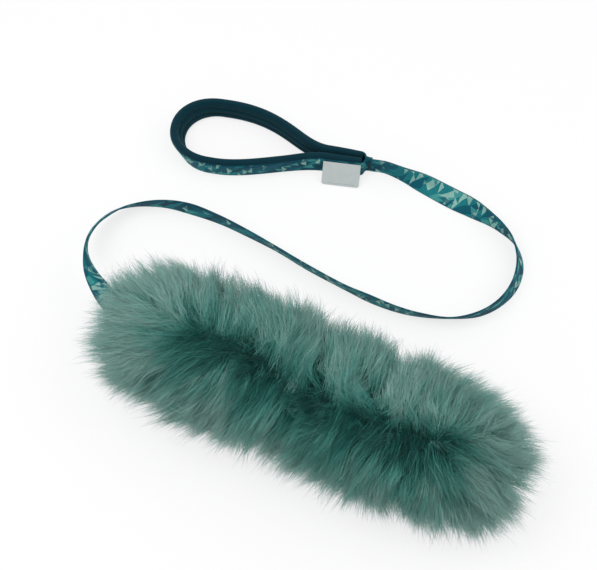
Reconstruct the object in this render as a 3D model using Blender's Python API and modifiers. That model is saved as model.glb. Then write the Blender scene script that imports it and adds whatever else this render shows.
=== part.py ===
"""Sheepskin tug toy: a woolly sheepskin body on a printed webbing lead with a padded loop handle.

Units are metres. +X runs along the sheepskin body, +Z is up, and the toy lies on the plane z = 0.
The origin is on the flat under the middle of the body.
"""

import math

import bmesh
import bpy
from mathutils import Matrix, Vector

MM = 0.001
TOY = "sheepskin_tug_toy"
ENDS = (("throat", -1), ("far", 1))

# Clearance between pieces that touch on the real toy, and how far a cutter runs past what it cuts
GAP = 0.3 * MM
CUTTER_OVER = 2.0 * MM

# Webbing, one printed strip from the far end of the body to the end of the handle loop
WEB_WIDTH = 20.0 * MM
WEB_THICKNESS = 1.6 * MM

# Sheepskin sleeve: a hide rolled wool side out, sewn along its length and pinched flat at both ends
HIDE_LENGTH = 300.0 * MM
HIDE_RADIUS = 26.0 * MM
HIDE_WALL = 2.2 * MM
HIDE_AXIS_HEIGHT = 50.0 * MM
HIDE_BLUFFNESS = 3.4
PINCH_LENGTH = 8.0 * MM
PINCH_OVERLAP = 7.0 * MM
PINCH_ROUNDING = 1.6 * MM
SEAM_ANGLE = math.radians(75.0)
SEAM_WIDTH = 0.6 * MM
SEAM_LENGTH = 200.0 * MM
SEAM_STITCHES = 34
SEAM_REACH = 2.6 * MM
THREAD_RADIUS = 0.35 * MM

# Wool pile, measured from the hide
WOOL_END = 55.0 * MM
WOOL_SIDE = 49.0 * MM
WOOL_TOP = 36.0 * MM
WOOL_BLUFFNESS = 3.0
WOOL_FLAT = 0.5 * MM
PARTING_DEPTH = 5.0 * MM
PARTING_SPREAD = math.radians(13.0)

# Sewn bar tacks: a stem of thread through the layers and a bar on each face
TACK_BAR = 2.4 * MM
TACK_STEM = 0.9 * MM
TACK_THICKNESS = 0.7 * MM
PINCH_TACK_WIDTH = 13.0 * MM
NECK_TACK_HEIGHT = 12.0 * MM

# Handle, in its own plan frame: x from the neck towards the far end of the loop, y to the near side
NECK_FROM_THROAT = Vector((96.4 * MM, 269.7 * MM, 0.0))
HANDLE_HEADING = math.radians(194.4)
HANDLE_LENGTH = 187.0 * MM
LOOP_RADIUS = 33.6 * MM
LOOP_OFFSET = -5.2 * MM
NECK_TAPER_LENGTH = 33.0 * MM
NEAR_LIMB_EASE = 37.0 * MM
FAR_LIMB_EASE = 62.5 * MM
LIMB_EASE_NECK = 35.0 * MM
LIMB_JOINS_ROUND = Vector((-3.0 * MM, 1.5 * MM))
LOOP_THICKNESS = 9.0 * MM
NECK_THICKNESS = 7.4 * MM

# How far the loop leans outwards at its top: each limb, and the round over and above them
NEAR_LIMB_LEAN = math.radians(9.0)
FAR_LIMB_LEAN = math.radians(4.0)
ROUND_LEAN = math.radians(18.0)
LEAN_START = 40.0 * MM
LEAN_RISE = 45.0 * MM

# Padding and its sewn channels
PADDING_OVER = 3.2 * MM
PADDING_BLUFFNESS = 2.7
PADDING_START = 6.0 * MM
PADDING_FOOT_LEVELS = (0.4 * MM, 1.6 * MM, 3.6 * MM)
PADDING_CREST_LEVELS = (4.4 * MM, 1.8 * MM, 0.5 * MM)
PADDING_BACK_LEVELS = (12.0 * MM, 3.0 * MM, 0.8 * MM)
CHANNEL_DEPTH = 1.5 * MM
CHANNEL_PITCH = 7.4 * MM
CHANNEL_MIDDLE = 11.0 * MM
CHANNEL_HALF_WIDTH = 1.9 * MM
STUB_LENGTH = 6.0 * MM
NECK_TURN_OUT = Vector((-3.2 * MM, -0.3 * MM))
NECK_TURN_IN = Vector((3.4 * MM, 0.0))
STUB_TACK_AT = -2.0 * MM
FAR_END_AT = -4.2 * MM

# Side label, a bare folded tab sewn in above the webbing's edge
LABEL_WIDTH = 37.0 * MM
LABEL_LEAN = math.radians(35.0)
LABEL_THICKNESS = 0.9 * MM
LABEL_CORNER = 2.5 * MM
LABEL_AT = 24.0 * MM
LABEL_BELOW_EDGE = 0.4 * MM
LABEL_STITCH_UP = 2.2 * MM
LABEL_STITCH_MARGIN = 5.0 * MM

# Lead from the neck to the throat: its middle in millimetres, x and y from the throat and z from the
# floor, and its lean from upright in degrees, positive where its top is to the left of its run
LEAD_ROUTE = (
    (135.1, 273.7, 10.3, 10),
    (155.3, 273.4, 8.5, 37),
    (172.7, 272.0, 7.1, 49),
    (189.4, 270.2, 6.5, 54),
    (205.7, 267.4, 8.5, 38),
    (227.9, 261.9, 10.4, 8),
    (243.2, 256.7, 10.3, -5),
    (258.3, 248.1, 9.9, -18),
    (271.5, 229.5, 9.5, -24),
    (275.9, 205.3, 9.9, -17),
    (271.1, 181.9, 10.3, -2),
    (258.1, 161.4, 10.1, 12),
    (235.3, 145.7, 9.3, 27),
    (207.0, 136.0, 9.7, 20),
    (185.0, 132.4, 10.0, 14),
    (158.7, 131.9, 10.2, 10),
    (135.0, 133.2, 9.9, 16),
    (91.0, 138.3, 10.0, 15),
    (56.3, 144.2, 9.9, 16),
    (23.4, 148.1, 10.1, 11),
    (-7.5, 150.3, 10.2, 7),
    (-37.7, 149.0, 10.3, 2),
    (-63.4, 143.1, 10.5, 13),
    (-88.8, 130.1, 9.7, 27),
    (-99.9, 115.4, 13.8, 35),
    (-106.1, 92.7, 19.0, 32),
    (-103.5, 72.5, 26.0, 24),
    (-97.1, 58.5, 31.4, 6),
    (-86.7, 44.5, 37.0, -18),
    (-74.9, 31.7, 41.0, -42),
    (-60.7, 20.7, 44.3, -64),
    (-45.0, 10.8, 47.0, -80),
    (-28.7, 3.6, 49.2, -88),
)
LEAD_STEPS = 78
THROAT_RUN = 12.0 * MM

# Sizes that follow from those above
WEB_TOP = GAP + WEB_WIDTH
WEB_MIDDLE = GAP + WEB_WIDTH / 2
PADDING_HEIGHT = WEB_TOP + PADDING_OVER
LABEL_TOP = WEB_TOP - LABEL_BELOW_EDGE
LABEL_HEIGHT = (LABEL_TOP - GAP - LABEL_THICKNESS / 2 * math.sin(LABEL_LEAN)) / math.cos(LABEL_LEAN)
WOOL_HALF_LENGTH = HIDE_LENGTH / 2 + WOOL_END
WOOL_HALF_WIDTH = HIDE_RADIUS + WOOL_SIDE
THROAT = Vector((-(HIDE_LENGTH / 2 + PINCH_LENGTH), 0.0, HIDE_AXIS_HEIGHT))

MATERIALS = {
    "wool": ((0.105, 0.235, 0.215), 0.9),
    "hide": ((0.55, 0.50, 0.42), 0.75),
    "filling": ((0.85, 0.85, 0.83), 0.95),
    "webbing": ((0.030, 0.165, 0.185), 0.6),
    "padding": ((0.004, 0.040, 0.053), 0.85),
    "thread": ((0.004, 0.035, 0.045), 0.6),
    "label": ((0.50, 0.54, 0.54), 0.7),
}


def clear_scene():
    """Remove what the startup scene holds."""
    for obj in list(bpy.data.objects):
        bpy.data.objects.remove(obj)


def collection(name):
    """A new collection in the scene."""
    made = bpy.data.collections.new(name)
    bpy.context.scene.collection.children.link(made)
    return made


def make_material(name, colour, roughness):
    """A Principled material of one colour."""
    made = bpy.data.materials.new(name)
    made.use_nodes = True
    shader = made.node_tree.nodes["Principled BSDF"]
    shader.inputs["Base Color"].default_value = (*colour, 1.0)
    shader.inputs["Roughness"].default_value = roughness
    shader.inputs["Metallic"].default_value = 0.0
    return made


def place(name, data, home, finish=None, parent=None, at=None):
    """Put mesh or curve data in a collection as an object, and return the object."""
    obj = bpy.data.objects.new(name, data)
    home.objects.link(obj)
    if finish:
        data.materials.append(finish)
    if at is not None:
        obj.matrix_world = at
    if parent:
        obj.parent = parent
        obj.matrix_parent_inverse = parent.matrix_world.inverted()
    return obj


def as_cutter(obj):
    """Keep a helper solid out of the model."""
    obj.hide_render = True
    obj.display_type = "WIRE"
    return obj


def cut(obj, cutter, operation="DIFFERENCE"):
    """Add an exact Boolean with a cutter."""
    modifier = obj.modifiers.new(f"{operation.lower()}_{cutter.name}", "BOOLEAN")
    modifier.operation = operation
    modifier.solver = "EXACT"
    modifier.object = cutter


def made_mesh(obj, home):
    """Replace a curve object by a welded mesh object in the same place."""
    bpy.context.view_layer.update()
    graph = bpy.context.evaluated_depsgraph_get()
    mesh = bpy.data.meshes.new_from_object(obj.evaluated_get(graph))
    shell = bmesh.new()
    shell.from_mesh(mesh)
    bmesh.ops.remove_doubles(shell, verts=shell.verts, dist=0.00001)
    bmesh.ops.recalc_face_normals(shell, faces=shell.faces)
    shell.to_mesh(mesh)
    shell.free()
    name, matrix, parent = obj.name, obj.matrix_world.copy(), obj.parent
    bpy.data.objects.remove(obj)
    mesh.name = name
    new = place(name, mesh, home, parent=parent, at=matrix)
    return new


def box(name, size, centre, home, turn=0.0, bevel=0.0):
    """A box with its edges rounded by a Bevel, turned about Z."""
    mesh = bpy.data.meshes.new(name)
    shell = bmesh.new()
    bmesh.ops.create_cube(shell, size=1.0)
    bmesh.ops.scale(shell, vec=size, verts=shell.verts)
    shell.to_mesh(mesh)
    shell.free()
    obj = place(name, mesh, home, at=Matrix.Translation(centre) @ Matrix.Rotation(turn, 4, "Z"))
    if bevel:
        modifier = obj.modifiers.new("rounded_edges", "BEVEL")
        modifier.width = bevel
        modifier.segments = 2
        modifier.limit_method = "NONE"
    return obj


def smooth_route(points, steps):
    """Points at even spacing along a centripetal curve through the route's own points.

    A point holds three coordinates and the lean, which is carried along.
    """
    knots = [Vector(point) for point in points]
    knots = [2 * knots[0] - knots[1], *knots, 2 * knots[-1] - knots[-2]]
    fine = []
    for before, start, end, after in zip(knots, knots[1:], knots[2:], knots[3:]):
        spans = ((before, start), (start, end), (end, after))
        gaps = [math.sqrt((b - a).xyz.length) for a, b in spans]
        first = (start - before) / gaps[0] - (end - before) / (gaps[0] + gaps[1]) + (end - start) / gaps[1]
        last = (end - start) / gaps[1] - (after - start) / (gaps[1] + gaps[2]) + (after - end) / gaps[2]
        first, last = first * gaps[1], last * gaps[1]
        for step in range(24):
            t = step / 24
            fine.append(
                start * (2 * t**3 - 3 * t**2 + 1)
                + first * (t**3 - 2 * t**2 + t)
                + end * (3 * t**2 - 2 * t**3)
                + last * (t**3 - t**2)
            )
    fine.append(knots[-2])
    lengths = [0.0]
    for a, b in zip(fine, fine[1:]):
        lengths.append(lengths[-1] + (b - a).xyz.length)
    stations, index = [], 0
    for step in range(steps + 1):
        target = lengths[-1] * step / steps
        while index < len(lengths) - 2 and lengths[index + 1] < target:
            index += 1
        share = (target - lengths[index]) / (lengths[index + 1] - lengths[index])
        stations.append(fine[index].lerp(fine[index + 1], min(share, 1.0)))
    return stations, lengths[-1]


def strap(name, stations, width, thickness, home, finish=None, sides=0):
    """A flat strap along stations of x, y, z and lean, its width upright where the lean is 0."""
    curve = bpy.data.curves.new(name, "CURVE")
    curve.dimensions = "3D"
    curve.twist_mode = "Z_UP"
    curve.extrude = (width - thickness) / 2
    curve.bevel_depth = thickness / 2
    curve.bevel_resolution = sides
    curve.use_fill_caps = True
    spline = curve.splines.new("POLY")
    spline.points.add(len(stations) - 1)
    for point, station in zip(spline.points, stations):
        point.co = (station[0], station[1], station[2], 1.0)
        point.tilt = -station[3]
    return place(name, curve, home, finish)


def thread(name, points, home, finish, parent=None, sides=1):
    """A round thread along a list of points."""
    curve = bpy.data.curves.new(name, "CURVE")
    curve.dimensions = "3D"
    curve.bevel_depth = THREAD_RADIUS
    curve.bevel_resolution = sides
    curve.use_fill_caps = True
    spline = curve.splines.new("POLY")
    spline.points.add(len(points) - 1)
    for point, co in zip(spline.points, points):
        point.co = (*co, 1.0)
    return place(name, curve, home, finish, parent)


def sausage_radius(x, half_length, radius, bluffness):
    """The radius of a stuffed roll at x, full in the middle and rounded to a point at its ends."""
    return radius * max(1 - abs(x / half_length) ** bluffness, 0.0) ** (1 / bluffness)


def sausage(name, half_length, radius, home, finish=None, rings=18, sides=24):
    """A stuffed roll along the sleeve: a profile from end to end, turned by a Screw modifier."""
    mesh = bpy.data.meshes.new(name)
    shell = bmesh.new()
    verts = []
    for ring in range(rings + 1):
        turn = math.pi * ring / rings
        power = 2 / HIDE_BLUFFNESS
        along = half_length * math.copysign(abs(math.cos(turn)) ** power, math.cos(turn))
        out = radius * math.sin(turn) ** power if 0 < ring < rings else 0.0
        verts.append(shell.verts.new((out, 0.0, along)))
    for a, b in zip(verts, verts[1:]):
        shell.edges.new((a, b))
    shell.to_mesh(mesh)
    shell.free()
    obj = place(name, mesh, home, finish)
    lying = Matrix.Rotation(math.radians(90), 4, "Y")
    obj.matrix_world = Matrix.Translation((0.0, 0.0, HIDE_AXIS_HEIGHT)) @ lying
    screw = obj.modifiers.new("turn", "SCREW")
    screw.axis = "Z"
    screw.steps = sides
    screw.render_steps = sides
    screw.use_merge_vertices = True
    screw.merge_threshold = 0.00001
    screw.use_smooth_shade = True
    return obj


def wool_pile(home, finish):
    """The outer form of the wool: a bluff roll, lower than wide, with a parting over the seam."""
    mesh = bpy.data.meshes.new("wool_pile")
    shell = bmesh.new()
    bmesh.ops.create_uvsphere(shell, u_segments=34, v_segments=30, radius=1.0)
    bmesh.ops.rotate(shell, verts=shell.verts, matrix=Matrix.Rotation(math.radians(90), 3, "Y"))
    top = HIDE_RADIUS + WOOL_TOP
    bottom = HIDE_AXIS_HEIGHT + WOOL_FLAT
    for vert in shell.verts:
        along = max(min(vert.co.x, 1.0), -1.0)
        out = math.hypot(vert.co.y, vert.co.z)
        swell = out ** (2 / WOOL_BLUFFNESS)
        turn = math.atan2(vert.co.z, vert.co.y)
        off = abs(turn - (math.pi - SEAM_ANGLE))
        valley = PARTING_DEPTH * math.exp(-((off / PARTING_SPREAD) ** 2))
        reach = swell - valley * swell / top
        tall = top if vert.co.z > 0 else bottom
        vert.co = (
            WOOL_HALF_LENGTH * math.copysign(abs(along) ** (2 / WOOL_BLUFFNESS), along),
            WOOL_HALF_WIDTH * reach * math.cos(turn),
            HIDE_AXIS_HEIGHT + tall * reach * math.sin(turn),
        )
    lower = bmesh.ops.bisect_plane(
        shell,
        geom=shell.verts[:] + shell.edges[:] + shell.faces[:],
        plane_co=(0.0, 0.0, 0.0),
        plane_no=(0.0, 0.0, -1.0),
        clear_outer=True,
    )
    rim = [item for item in lower["geom_cut"] if isinstance(item, bmesh.types.BMEdge)]
    bmesh.ops.holes_fill(shell, edges=rim, sides=0)
    bmesh.ops.recalc_face_normals(shell, faces=shell.faces)
    shell.to_mesh(mesh)
    shell.free()
    mesh.shade_smooth()
    return place("wool_pile", mesh, home, finish)


def pinch(name, side, grow, home):
    """One pinched end of the hide: a flat collar round the strap. side is -1 at the throat."""
    length = PINCH_LENGTH + PINCH_OVERLAP
    middle = side * (HIDE_LENGTH / 2 + (PINCH_LENGTH - PINCH_OVERLAP) / 2)
    width = WEB_WIDTH + 2 * (GAP + HIDE_WALL)
    height = WEB_THICKNESS + 2 * (GAP + HIDE_WALL)
    size = (length + 2 * grow, width + 2 * grow, height + 2 * grow)
    rounding = PINCH_ROUNDING if grow < MM else 0.0
    return box(name, size, (middle, 0.0, HIDE_AXIS_HEIGHT), home, bevel=rounding)


def bar_tack(name, half_stack, width, home, finish, at, grow=0.0):
    """A bar tack: an I-shaped outline, bars across the stack's faces and a stem through it."""
    curve = bpy.data.curves.new(name, "CURVE")
    curve.dimensions = "2D"
    curve.fill_mode = "BOTH"
    curve.extrude = width / 2 + grow
    inner = half_stack + GAP
    outer = inner + TACK_THICKNESS
    stem = TACK_STEM / 2 + grow
    bar = TACK_BAR / 2
    quarter = ((bar, outer), (bar, inner), (stem, inner))
    if grow:
        quarter = ((stem, outer),)
    right = list(quarter) + [(x, -y) for x, y in reversed(quarter)]
    outline = right + [(-x, y) for x, y in reversed(right)]
    spline = curve.splines.new("POLY")
    spline.points.add(len(outline) - 1)
    spline.use_cyclic_u = True
    for point, (x, y) in zip(spline.points, outline):
        point.co = (x, y, 0.0, 1.0)
    obj = place(name, curve, home, finish, at=at)
    return obj


def pinch_tack_frame(side):
    """The place of a pinched end's tack: its stack is along Z and its width along Y."""
    x = side * (HIDE_LENGTH / 2 + PINCH_LENGTH / 2)
    turn = Matrix(((1, 0, 0, x), (0, 0, -1, 0), (0, 1, 0, HIDE_AXIS_HEIGHT), (0, 0, 0, 1)))
    return turn


def seam_points(radius_extra, reach, count):
    """A zigzag along the seam at a distance outside the hide, reaching to each side of it."""
    outward = Vector((0.0, -math.cos(SEAM_ANGLE), math.sin(SEAM_ANGLE)))
    across = Vector((0.0, math.sin(SEAM_ANGLE), math.cos(SEAM_ANGLE)))
    points = []
    for index in range(count + 1):
        x = SEAM_LENGTH * (index / count - 0.5)
        radius = sausage_radius(x, HIDE_LENGTH / 2, HIDE_RADIUS, HIDE_BLUFFNESS) + radius_extra
        side = reach if index % 2 else -reach
        centre = Vector((x, 0.0, HIDE_AXIS_HEIGHT))
        points.append(centre + outward * radius + across * side)
    return points


def sheepskin_body(parts, cutters, finishes):
    """The body: hide sleeve, wool, filling, the strap through it, its tacks and its seam."""
    half = HIDE_LENGTH / 2
    throat = -THROAT.x

    hide = sausage("hide_sleeve", half, HIDE_RADIUS, parts, finishes["hide"])
    hollow = as_cutter(sausage("hide_hollow", half - HIDE_WALL, HIDE_RADIUS - HIDE_WALL, cutters))
    channel_size = (2 * (throat + CUTTER_OVER), WEB_WIDTH + 2 * GAP, WEB_THICKNESS + 2 * GAP)
    channel = as_cutter(box("strap_channel", channel_size, (0.0, 0.0, HIDE_AXIS_HEIGHT), cutters))
    outward = Vector((0.0, -math.cos(SEAM_ANGLE), math.sin(SEAM_ANGLE)))
    slit_size = (SEAM_LENGTH, SEAM_WIDTH, 2 * (HIDE_WALL + CUTTER_OVER))
    slit = as_cutter(box("seam_slit", slit_size, (0.0, 0.0, 0.0), cutters))
    slit_middle = Vector((0.0, 0.0, HIDE_AXIS_HEIGHT)) + outward * (HIDE_RADIUS - HIDE_WALL / 2)
    slit_turn = outward.to_track_quat("Z", "X").to_matrix().to_4x4()
    slit.matrix_world = Matrix.Translation(slit_middle) @ slit_turn
    pinches, holes = [], []
    stack = WEB_THICKNESS / 2 + GAP + HIDE_WALL
    for end, side in ENDS:
        pinches.append(as_cutter(pinch(f"pinch_{end}", side, 0.0, cutters)))
        frame = pinch_tack_frame(side)
        hole = f"{end}_tack_hole"
        hole = bar_tack(hole, stack + CUTTER_OVER, PINCH_TACK_WIDTH, cutters, None, frame, grow=GAP)
        holes.append(as_cutter(made_mesh(hole, cutters)))
        bar_tack(f"{end}_tack", stack, PINCH_TACK_WIDTH, parts, finishes["thread"], frame)
    for solid in pinches:
        cut(hide, solid, "UNION")
    for solid in [hollow, channel, slit] + holes:
        cut(hide, solid)

    inside = HIDE_WALL + GAP
    filling = sausage("core_filling", half - inside, HIDE_RADIUS - inside, parts, finishes["filling"])
    cut(filling, channel)

    flat = math.radians(90)
    stations = [(x, 0.0, HIDE_AXIS_HEIGHT, flat) for x in (-throat, 0.0, throat - MM)]
    core = made_mesh(strap("core_strap", stations, WEB_WIDTH, WEB_THICKNESS, parts), parts)
    core.data.materials.append(finishes["webbing"])
    for hole in holes:
        cut(core, hole)

    stitches = seam_points(THREAD_RADIUS + GAP, SEAM_REACH, SEAM_STITCHES)
    thread("seam_thread", stitches, parts, finishes["thread"])

    wool = wool_pile(parts, finishes["wool"])
    room = as_cutter(sausage("wool_hollow", half + GAP, HIDE_RADIUS + GAP, cutters))
    tack_room = TACK_THICKNESS + 2 * GAP
    rooms = [as_cutter(pinch(f"room_{end}", side, tack_room, cutters)) for end, side in ENDS]
    seam_height = 2 * THREAD_RADIUS + 3 * GAP
    seam_line = seam_points(seam_height / 2 - GAP / 2, 0.0, SEAM_STITCHES)
    seam_line = [(*point, SEAM_ANGLE) for point in [2 * seam_line[0] - seam_line[1], *seam_line]]
    end = 2 * Vector(seam_line[-1][:3]) - Vector(seam_line[-2][:3])
    seam_line.append((*end, SEAM_ANGLE))
    seam_width = 2 * (SEAM_REACH + THREAD_RADIUS + 2 * GAP) + seam_height
    seam_room = strap("seam_room", seam_line, seam_width, seam_height, cutters)
    rooms.append(as_cutter(made_mesh(seam_room, cutters)))
    for solid in [room] + rooms:
        cut(wool, solid)
    return wool


def lead_stations():
    """The lead's smooth route from the handle's neck to the throat of the sleeve."""
    ahead = -Vector((math.cos(HANDLE_HEADING), math.sin(HANDLE_HEADING), 0.0))
    start = hinge_point() + ahead * (WEB_THICKNESS / 2 + GAP)
    straight = start + ahead * WEB_WIDTH / 2
    flat = math.radians(-90)
    route = [(*start.xy, WEB_MIDDLE, 0.0), (*straight.xy, WEB_MIDDLE, 0.0)]
    for x, y, z, lean in LEAD_ROUTE:
        route.append((THROAT.x + x * MM, THROAT.y + y * MM, z * MM, math.radians(lean)))
    route.append((THROAT.x - GAP - THROAT_RUN, THROAT.y, THROAT.z, flat))
    stations, length = smooth_route(route, LEAD_STEPS)
    stations.append(Vector((THROAT.x - GAP, THROAT.y, THROAT.z, flat)))
    return stations, length + THROAT_RUN


def lead(parts, cutters, finishes, wool):
    """The free stretch of webbing, and its way through the wool to the throat."""
    stations, length = lead_stations()
    print(f"lead length {length:.3f} m")
    strap("lead_strap", stations, WEB_WIDTH, WEB_THICKNESS, parts, finishes["webbing"], sides=1)
    edge = WOOL_HALF_LENGTH + WEB_WIDTH
    side = WOOL_HALF_WIDTH + WEB_WIDTH
    inside = [station for station in stations if -edge < station[0] < 0 and abs(station[1]) < side]
    last = 2 * inside[-1] - inside[-2]
    grow = 4 * GAP
    way = strap("strap_way", inside + [last], WEB_WIDTH + 2 * grow, WEB_THICKNESS + 2 * grow, cutters)
    cut(wool, as_cutter(made_mesh(way, cutters)))


def limb_thickness(along):
    """The padded webbing's thickness, sewn thin at the neck and full in the loop."""
    share = min(max((along - PADDING_START) / NECK_TAPER_LENGTH, 0.0), 1.0)
    return NECK_THICKNESS + (LOOP_THICKNESS - NECK_THICKNESS) * share * (2 - share)


def bezier(points, steps):
    """Points inside a cubic Bezier stretch, without its first."""
    a, b, c, d = [Vector(point) for point in points]
    found = []
    for step in range(1, steps + 1):
        t = step / steps
        from_start = a * (1 - t) ** 3 + b * 3 * t * (1 - t) ** 2
        found.append(from_start + c * 3 * t * t * (1 - t) + d * t**3)
    return found


def eased(share):
    """A smooth rise from 0 to 1."""
    share = min(max(share, 0.0), 1.0)
    return share * share * (3 - 2 * share)


def handle_path():
    """The middle line of the padded limbs in the handle's plan frame, near side first.

    Returns (point, thickness, lean) rows.
    """
    centre = Vector((HANDLE_LENGTH - LOOP_RADIUS, LOOP_OFFSET))
    neck_end = PADDING_START + NECK_TAPER_LENGTH

    def limb(side, ease, lean):
        found = []
        for step in range(6):
            along = PADDING_START + NECK_TAPER_LENGTH * step / 5
            found.append(Vector((along, side * (limb_thickness(along) + GAP) / 2)))
        tangent = centre + Vector((LIMB_JOINS_ROUND.x, side * LOOP_RADIUS))
        control = (
            found[-1],
            Vector((neck_end + LIMB_EASE_NECK, found[-1].y)),
            tangent + Vector((-ease, side * LIMB_JOINS_ROUND.y)),
            tangent,
        )
        found += bezier(control, 13)
        return [(point, lean * eased((point.x - LEAN_START) / LEAN_RISE)) for point in found]

    near = limb(1, NEAR_LIMB_EASE, NEAR_LIMB_LEAN)
    far = list(reversed(limb(-1, FAR_LIMB_EASE, FAR_LIMB_LEAN)))
    arc_steps = 18
    arc = []
    for step in range(1, arc_steps):
        share = step / arc_steps
        turn = math.pi * (0.5 - share)
        lean = NEAR_LIMB_LEAN + (FAR_LIMB_LEAN - NEAR_LIMB_LEAN) * eased(share)
        lean += ROUND_LEAN * math.sin(math.pi * share) ** 2
        arc.append((centre + LOOP_RADIUS * Vector((math.cos(turn), math.sin(turn))), lean))
    return [(point, limb_thickness(point.x), lean) for point, lean in near + arc + far]


def normals_of(points):
    """The unit normal at each point of a plan line, to the outside of the loop."""
    found = []
    for index in range(len(points)):
        before = points[max(index - 1, 0)]
        after = points[min(index + 1, len(points) - 1)]
        tangent = (after - before).normalized()
        found.append(Vector((-tangent.y, tangent.x)))
    return found


def padding_face(z, thickness):
    """How far the padding bulges from its middle line at a height, before the channels."""
    share = abs(2 * z / PADDING_HEIGHT - 1)
    return thickness / 2 * max(1 - share**PADDING_BLUFFNESS, 0.0) ** (1 / PADDING_BLUFFNESS)


def channel_dip(z):
    """How deep the sewn channels draw the inner face in at a height."""
    dip = 0.0
    for middle in (CHANNEL_MIDDLE - CHANNEL_PITCH / 2, CHANNEL_MIDDLE + CHANNEL_PITCH / 2):
        dip = max(dip, CHANNEL_DEPTH * (1 - abs(z - middle) / CHANNEL_HALF_WIDTH))
    return dip


def padding_section(thickness):
    """The padding's outline as (out, up) pairs: two sewn channels inside, the webbing's recess outside."""
    recess = thickness / 2 - WEB_THICKNESS - GAP
    shelf = WEB_TOP + GAP
    crest = [PADDING_HEIGHT - below for below in PADDING_CREST_LEVELS]
    inner = [*PADDING_FOOT_LEVELS, *crest]
    for middle in (CHANNEL_MIDDLE - CHANNEL_PITCH / 2, CHANNEL_MIDDLE + CHANNEL_PITCH / 2):
        inner += [middle - CHANNEL_HALF_WIDTH, middle, middle + CHANNEL_HALF_WIDTH]
    section = [(0.0, 0.0)]
    section += [(-padding_face(z, thickness) + channel_dip(z), z) for z in sorted(inner)]
    section += [(0.0, PADDING_HEIGHT)]
    outer = [*reversed(crest[1:]), shelf]
    section += [(padding_face(z, thickness), z) for z in outer]
    covered = (shelf, *PADDING_BACK_LEVELS)
    section += [(min(recess, padding_face(z, thickness)), z) for z in covered]
    return section


def handle_frame():
    """The handle's plan frame in the world."""
    neck = Vector((THROAT.x, THROAT.y, 0.0)) + NECK_FROM_THROAT
    return Matrix.Translation(neck) @ Matrix.Rotation(HANDLE_HEADING, 4, "Z")


def hinge_point():
    """Where the handle swings on the lead: the tip of the webbing stub past the neck."""
    return handle_frame() @ Vector((-STUB_LENGTH, 0.0, 0.0))


def in_handle(point, height):
    """A plan point of the handle at a height, in the world. Near is on the right of the heading."""
    return handle_frame() @ Vector((point[0], point[1], height))


def on_limb(row, normal, out, up):
    """A point of a leaning limb's section, in the world. The webbing's edge stays over the floor."""
    point, thickness, lean = row
    lift = GAP * (1 - math.cos(lean)) + thickness / 2 * math.sin(lean)
    outwards = out * math.cos(lean) + up * math.sin(lean)
    height = up * math.cos(lean) - out * math.sin(lean) + lift
    return in_handle(point + normal * outwards, height)


def handle_padding(parts, finish, empty):
    """The padding: one section carried round the loop, thin and square-ended at the neck."""
    path = handle_path()
    normals = normals_of([row[0] for row in path])
    mesh = bpy.data.meshes.new("handle_padding")
    shell = bmesh.new()
    rings = []
    for row, normal in zip(path, normals):
        places = [on_limb(row, normal, out, up) for out, up in padding_section(row[1])]
        rings.append([shell.verts.new(place) for place in places])
    count = len(rings[0])
    for a, b in zip(rings, rings[1:]):
        for index in range(count):
            following = (index + 1) % count
            shell.faces.new((a[index], a[following], b[following], b[index]))
    shell.faces.new(rings[0])
    shell.faces.new(rings[-1])
    bmesh.ops.triangulate(shell, faces=shell.faces)
    bmesh.ops.recalc_face_normals(shell, faces=shell.faces)
    shell.to_mesh(mesh)
    shell.free()
    mesh.shade_smooth()
    mesh.set_sharp_from_angle(angle=math.radians(50))
    return place("handle_padding", mesh, parts, finish, empty)


def neck_turn(side, end_along, end_side):
    """The webbing's turn from a padded limb's outer face to the neck, in plan."""
    face = (NECK_THICKNESS + GAP) / 2 + NECK_THICKNESS / 2 - WEB_THICKNESS / 2
    start = Vector((PADDING_START, side * face))
    end = Vector((end_along, end_side))
    out = Vector((NECK_TURN_OUT.x, side * NECK_TURN_OUT.y))
    return bezier((start, start + out, end + NECK_TURN_IN, end), 7)


def handle_webbing(parts, cutters, finish, empty):
    """The webbing round the loop: it leaves the stub, goes round the padding and ends behind the stub."""
    path = handle_path()
    normals = normals_of([row[0] for row in path])
    line = []
    for row, normal in zip(path, normals):
        line.append((*on_limb(row, normal, (row[1] - WEB_THICKNESS) / 2, WEB_MIDDLE), row[2]))
    behind = -(WEB_THICKNESS + GAP)
    near = [Vector((-STUB_LENGTH, 0.0)), *reversed(neck_turn(1, 0.4 * MM, 0.0))]
    far = [*neck_turn(-1, 0.0, behind), Vector((FAR_END_AT, behind))]
    near = [(*in_handle(point, WEB_MIDDLE), 0.0) for point in near]
    far = [(*in_handle(point, WEB_MIDDLE), 0.0) for point in far]
    stations = near + line + far
    web = made_mesh(strap("handle_webbing", stations, WEB_WIDTH, WEB_THICKNESS, parts), parts)
    web.data.materials.append(finish)
    tip = bpy.data.meshes.new("stub_tip")
    shell = bmesh.new()
    bmesh.ops.create_cone(
        shell,
        cap_ends=True,
        segments=16,
        radius1=WEB_THICKNESS / 2,
        radius2=WEB_THICKNESS / 2,
        depth=WEB_WIDTH - WEB_THICKNESS,
    )
    shell.to_mesh(tip)
    shell.free()
    at = Matrix.Translation(hinge_point() + Vector((0.0, 0.0, WEB_MIDDLE)))
    round_tip = as_cutter(place("stub_tip", tip, cutters, at=at))
    cut(web, round_tip, "UNION")
    web.parent = empty
    web.matrix_parent_inverse = empty.matrix_world.inverted()
    return web


def neck_tack_frame():
    """The place of the neck's tack: its stack is across the two layers and its width upright."""
    middle = in_handle((STUB_TACK_AT, -(WEB_THICKNESS + GAP) / 2), WEB_MIDDLE)
    return Matrix.Translation(middle) @ Matrix.Rotation(HANDLE_HEADING, 4, "Z")


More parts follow.
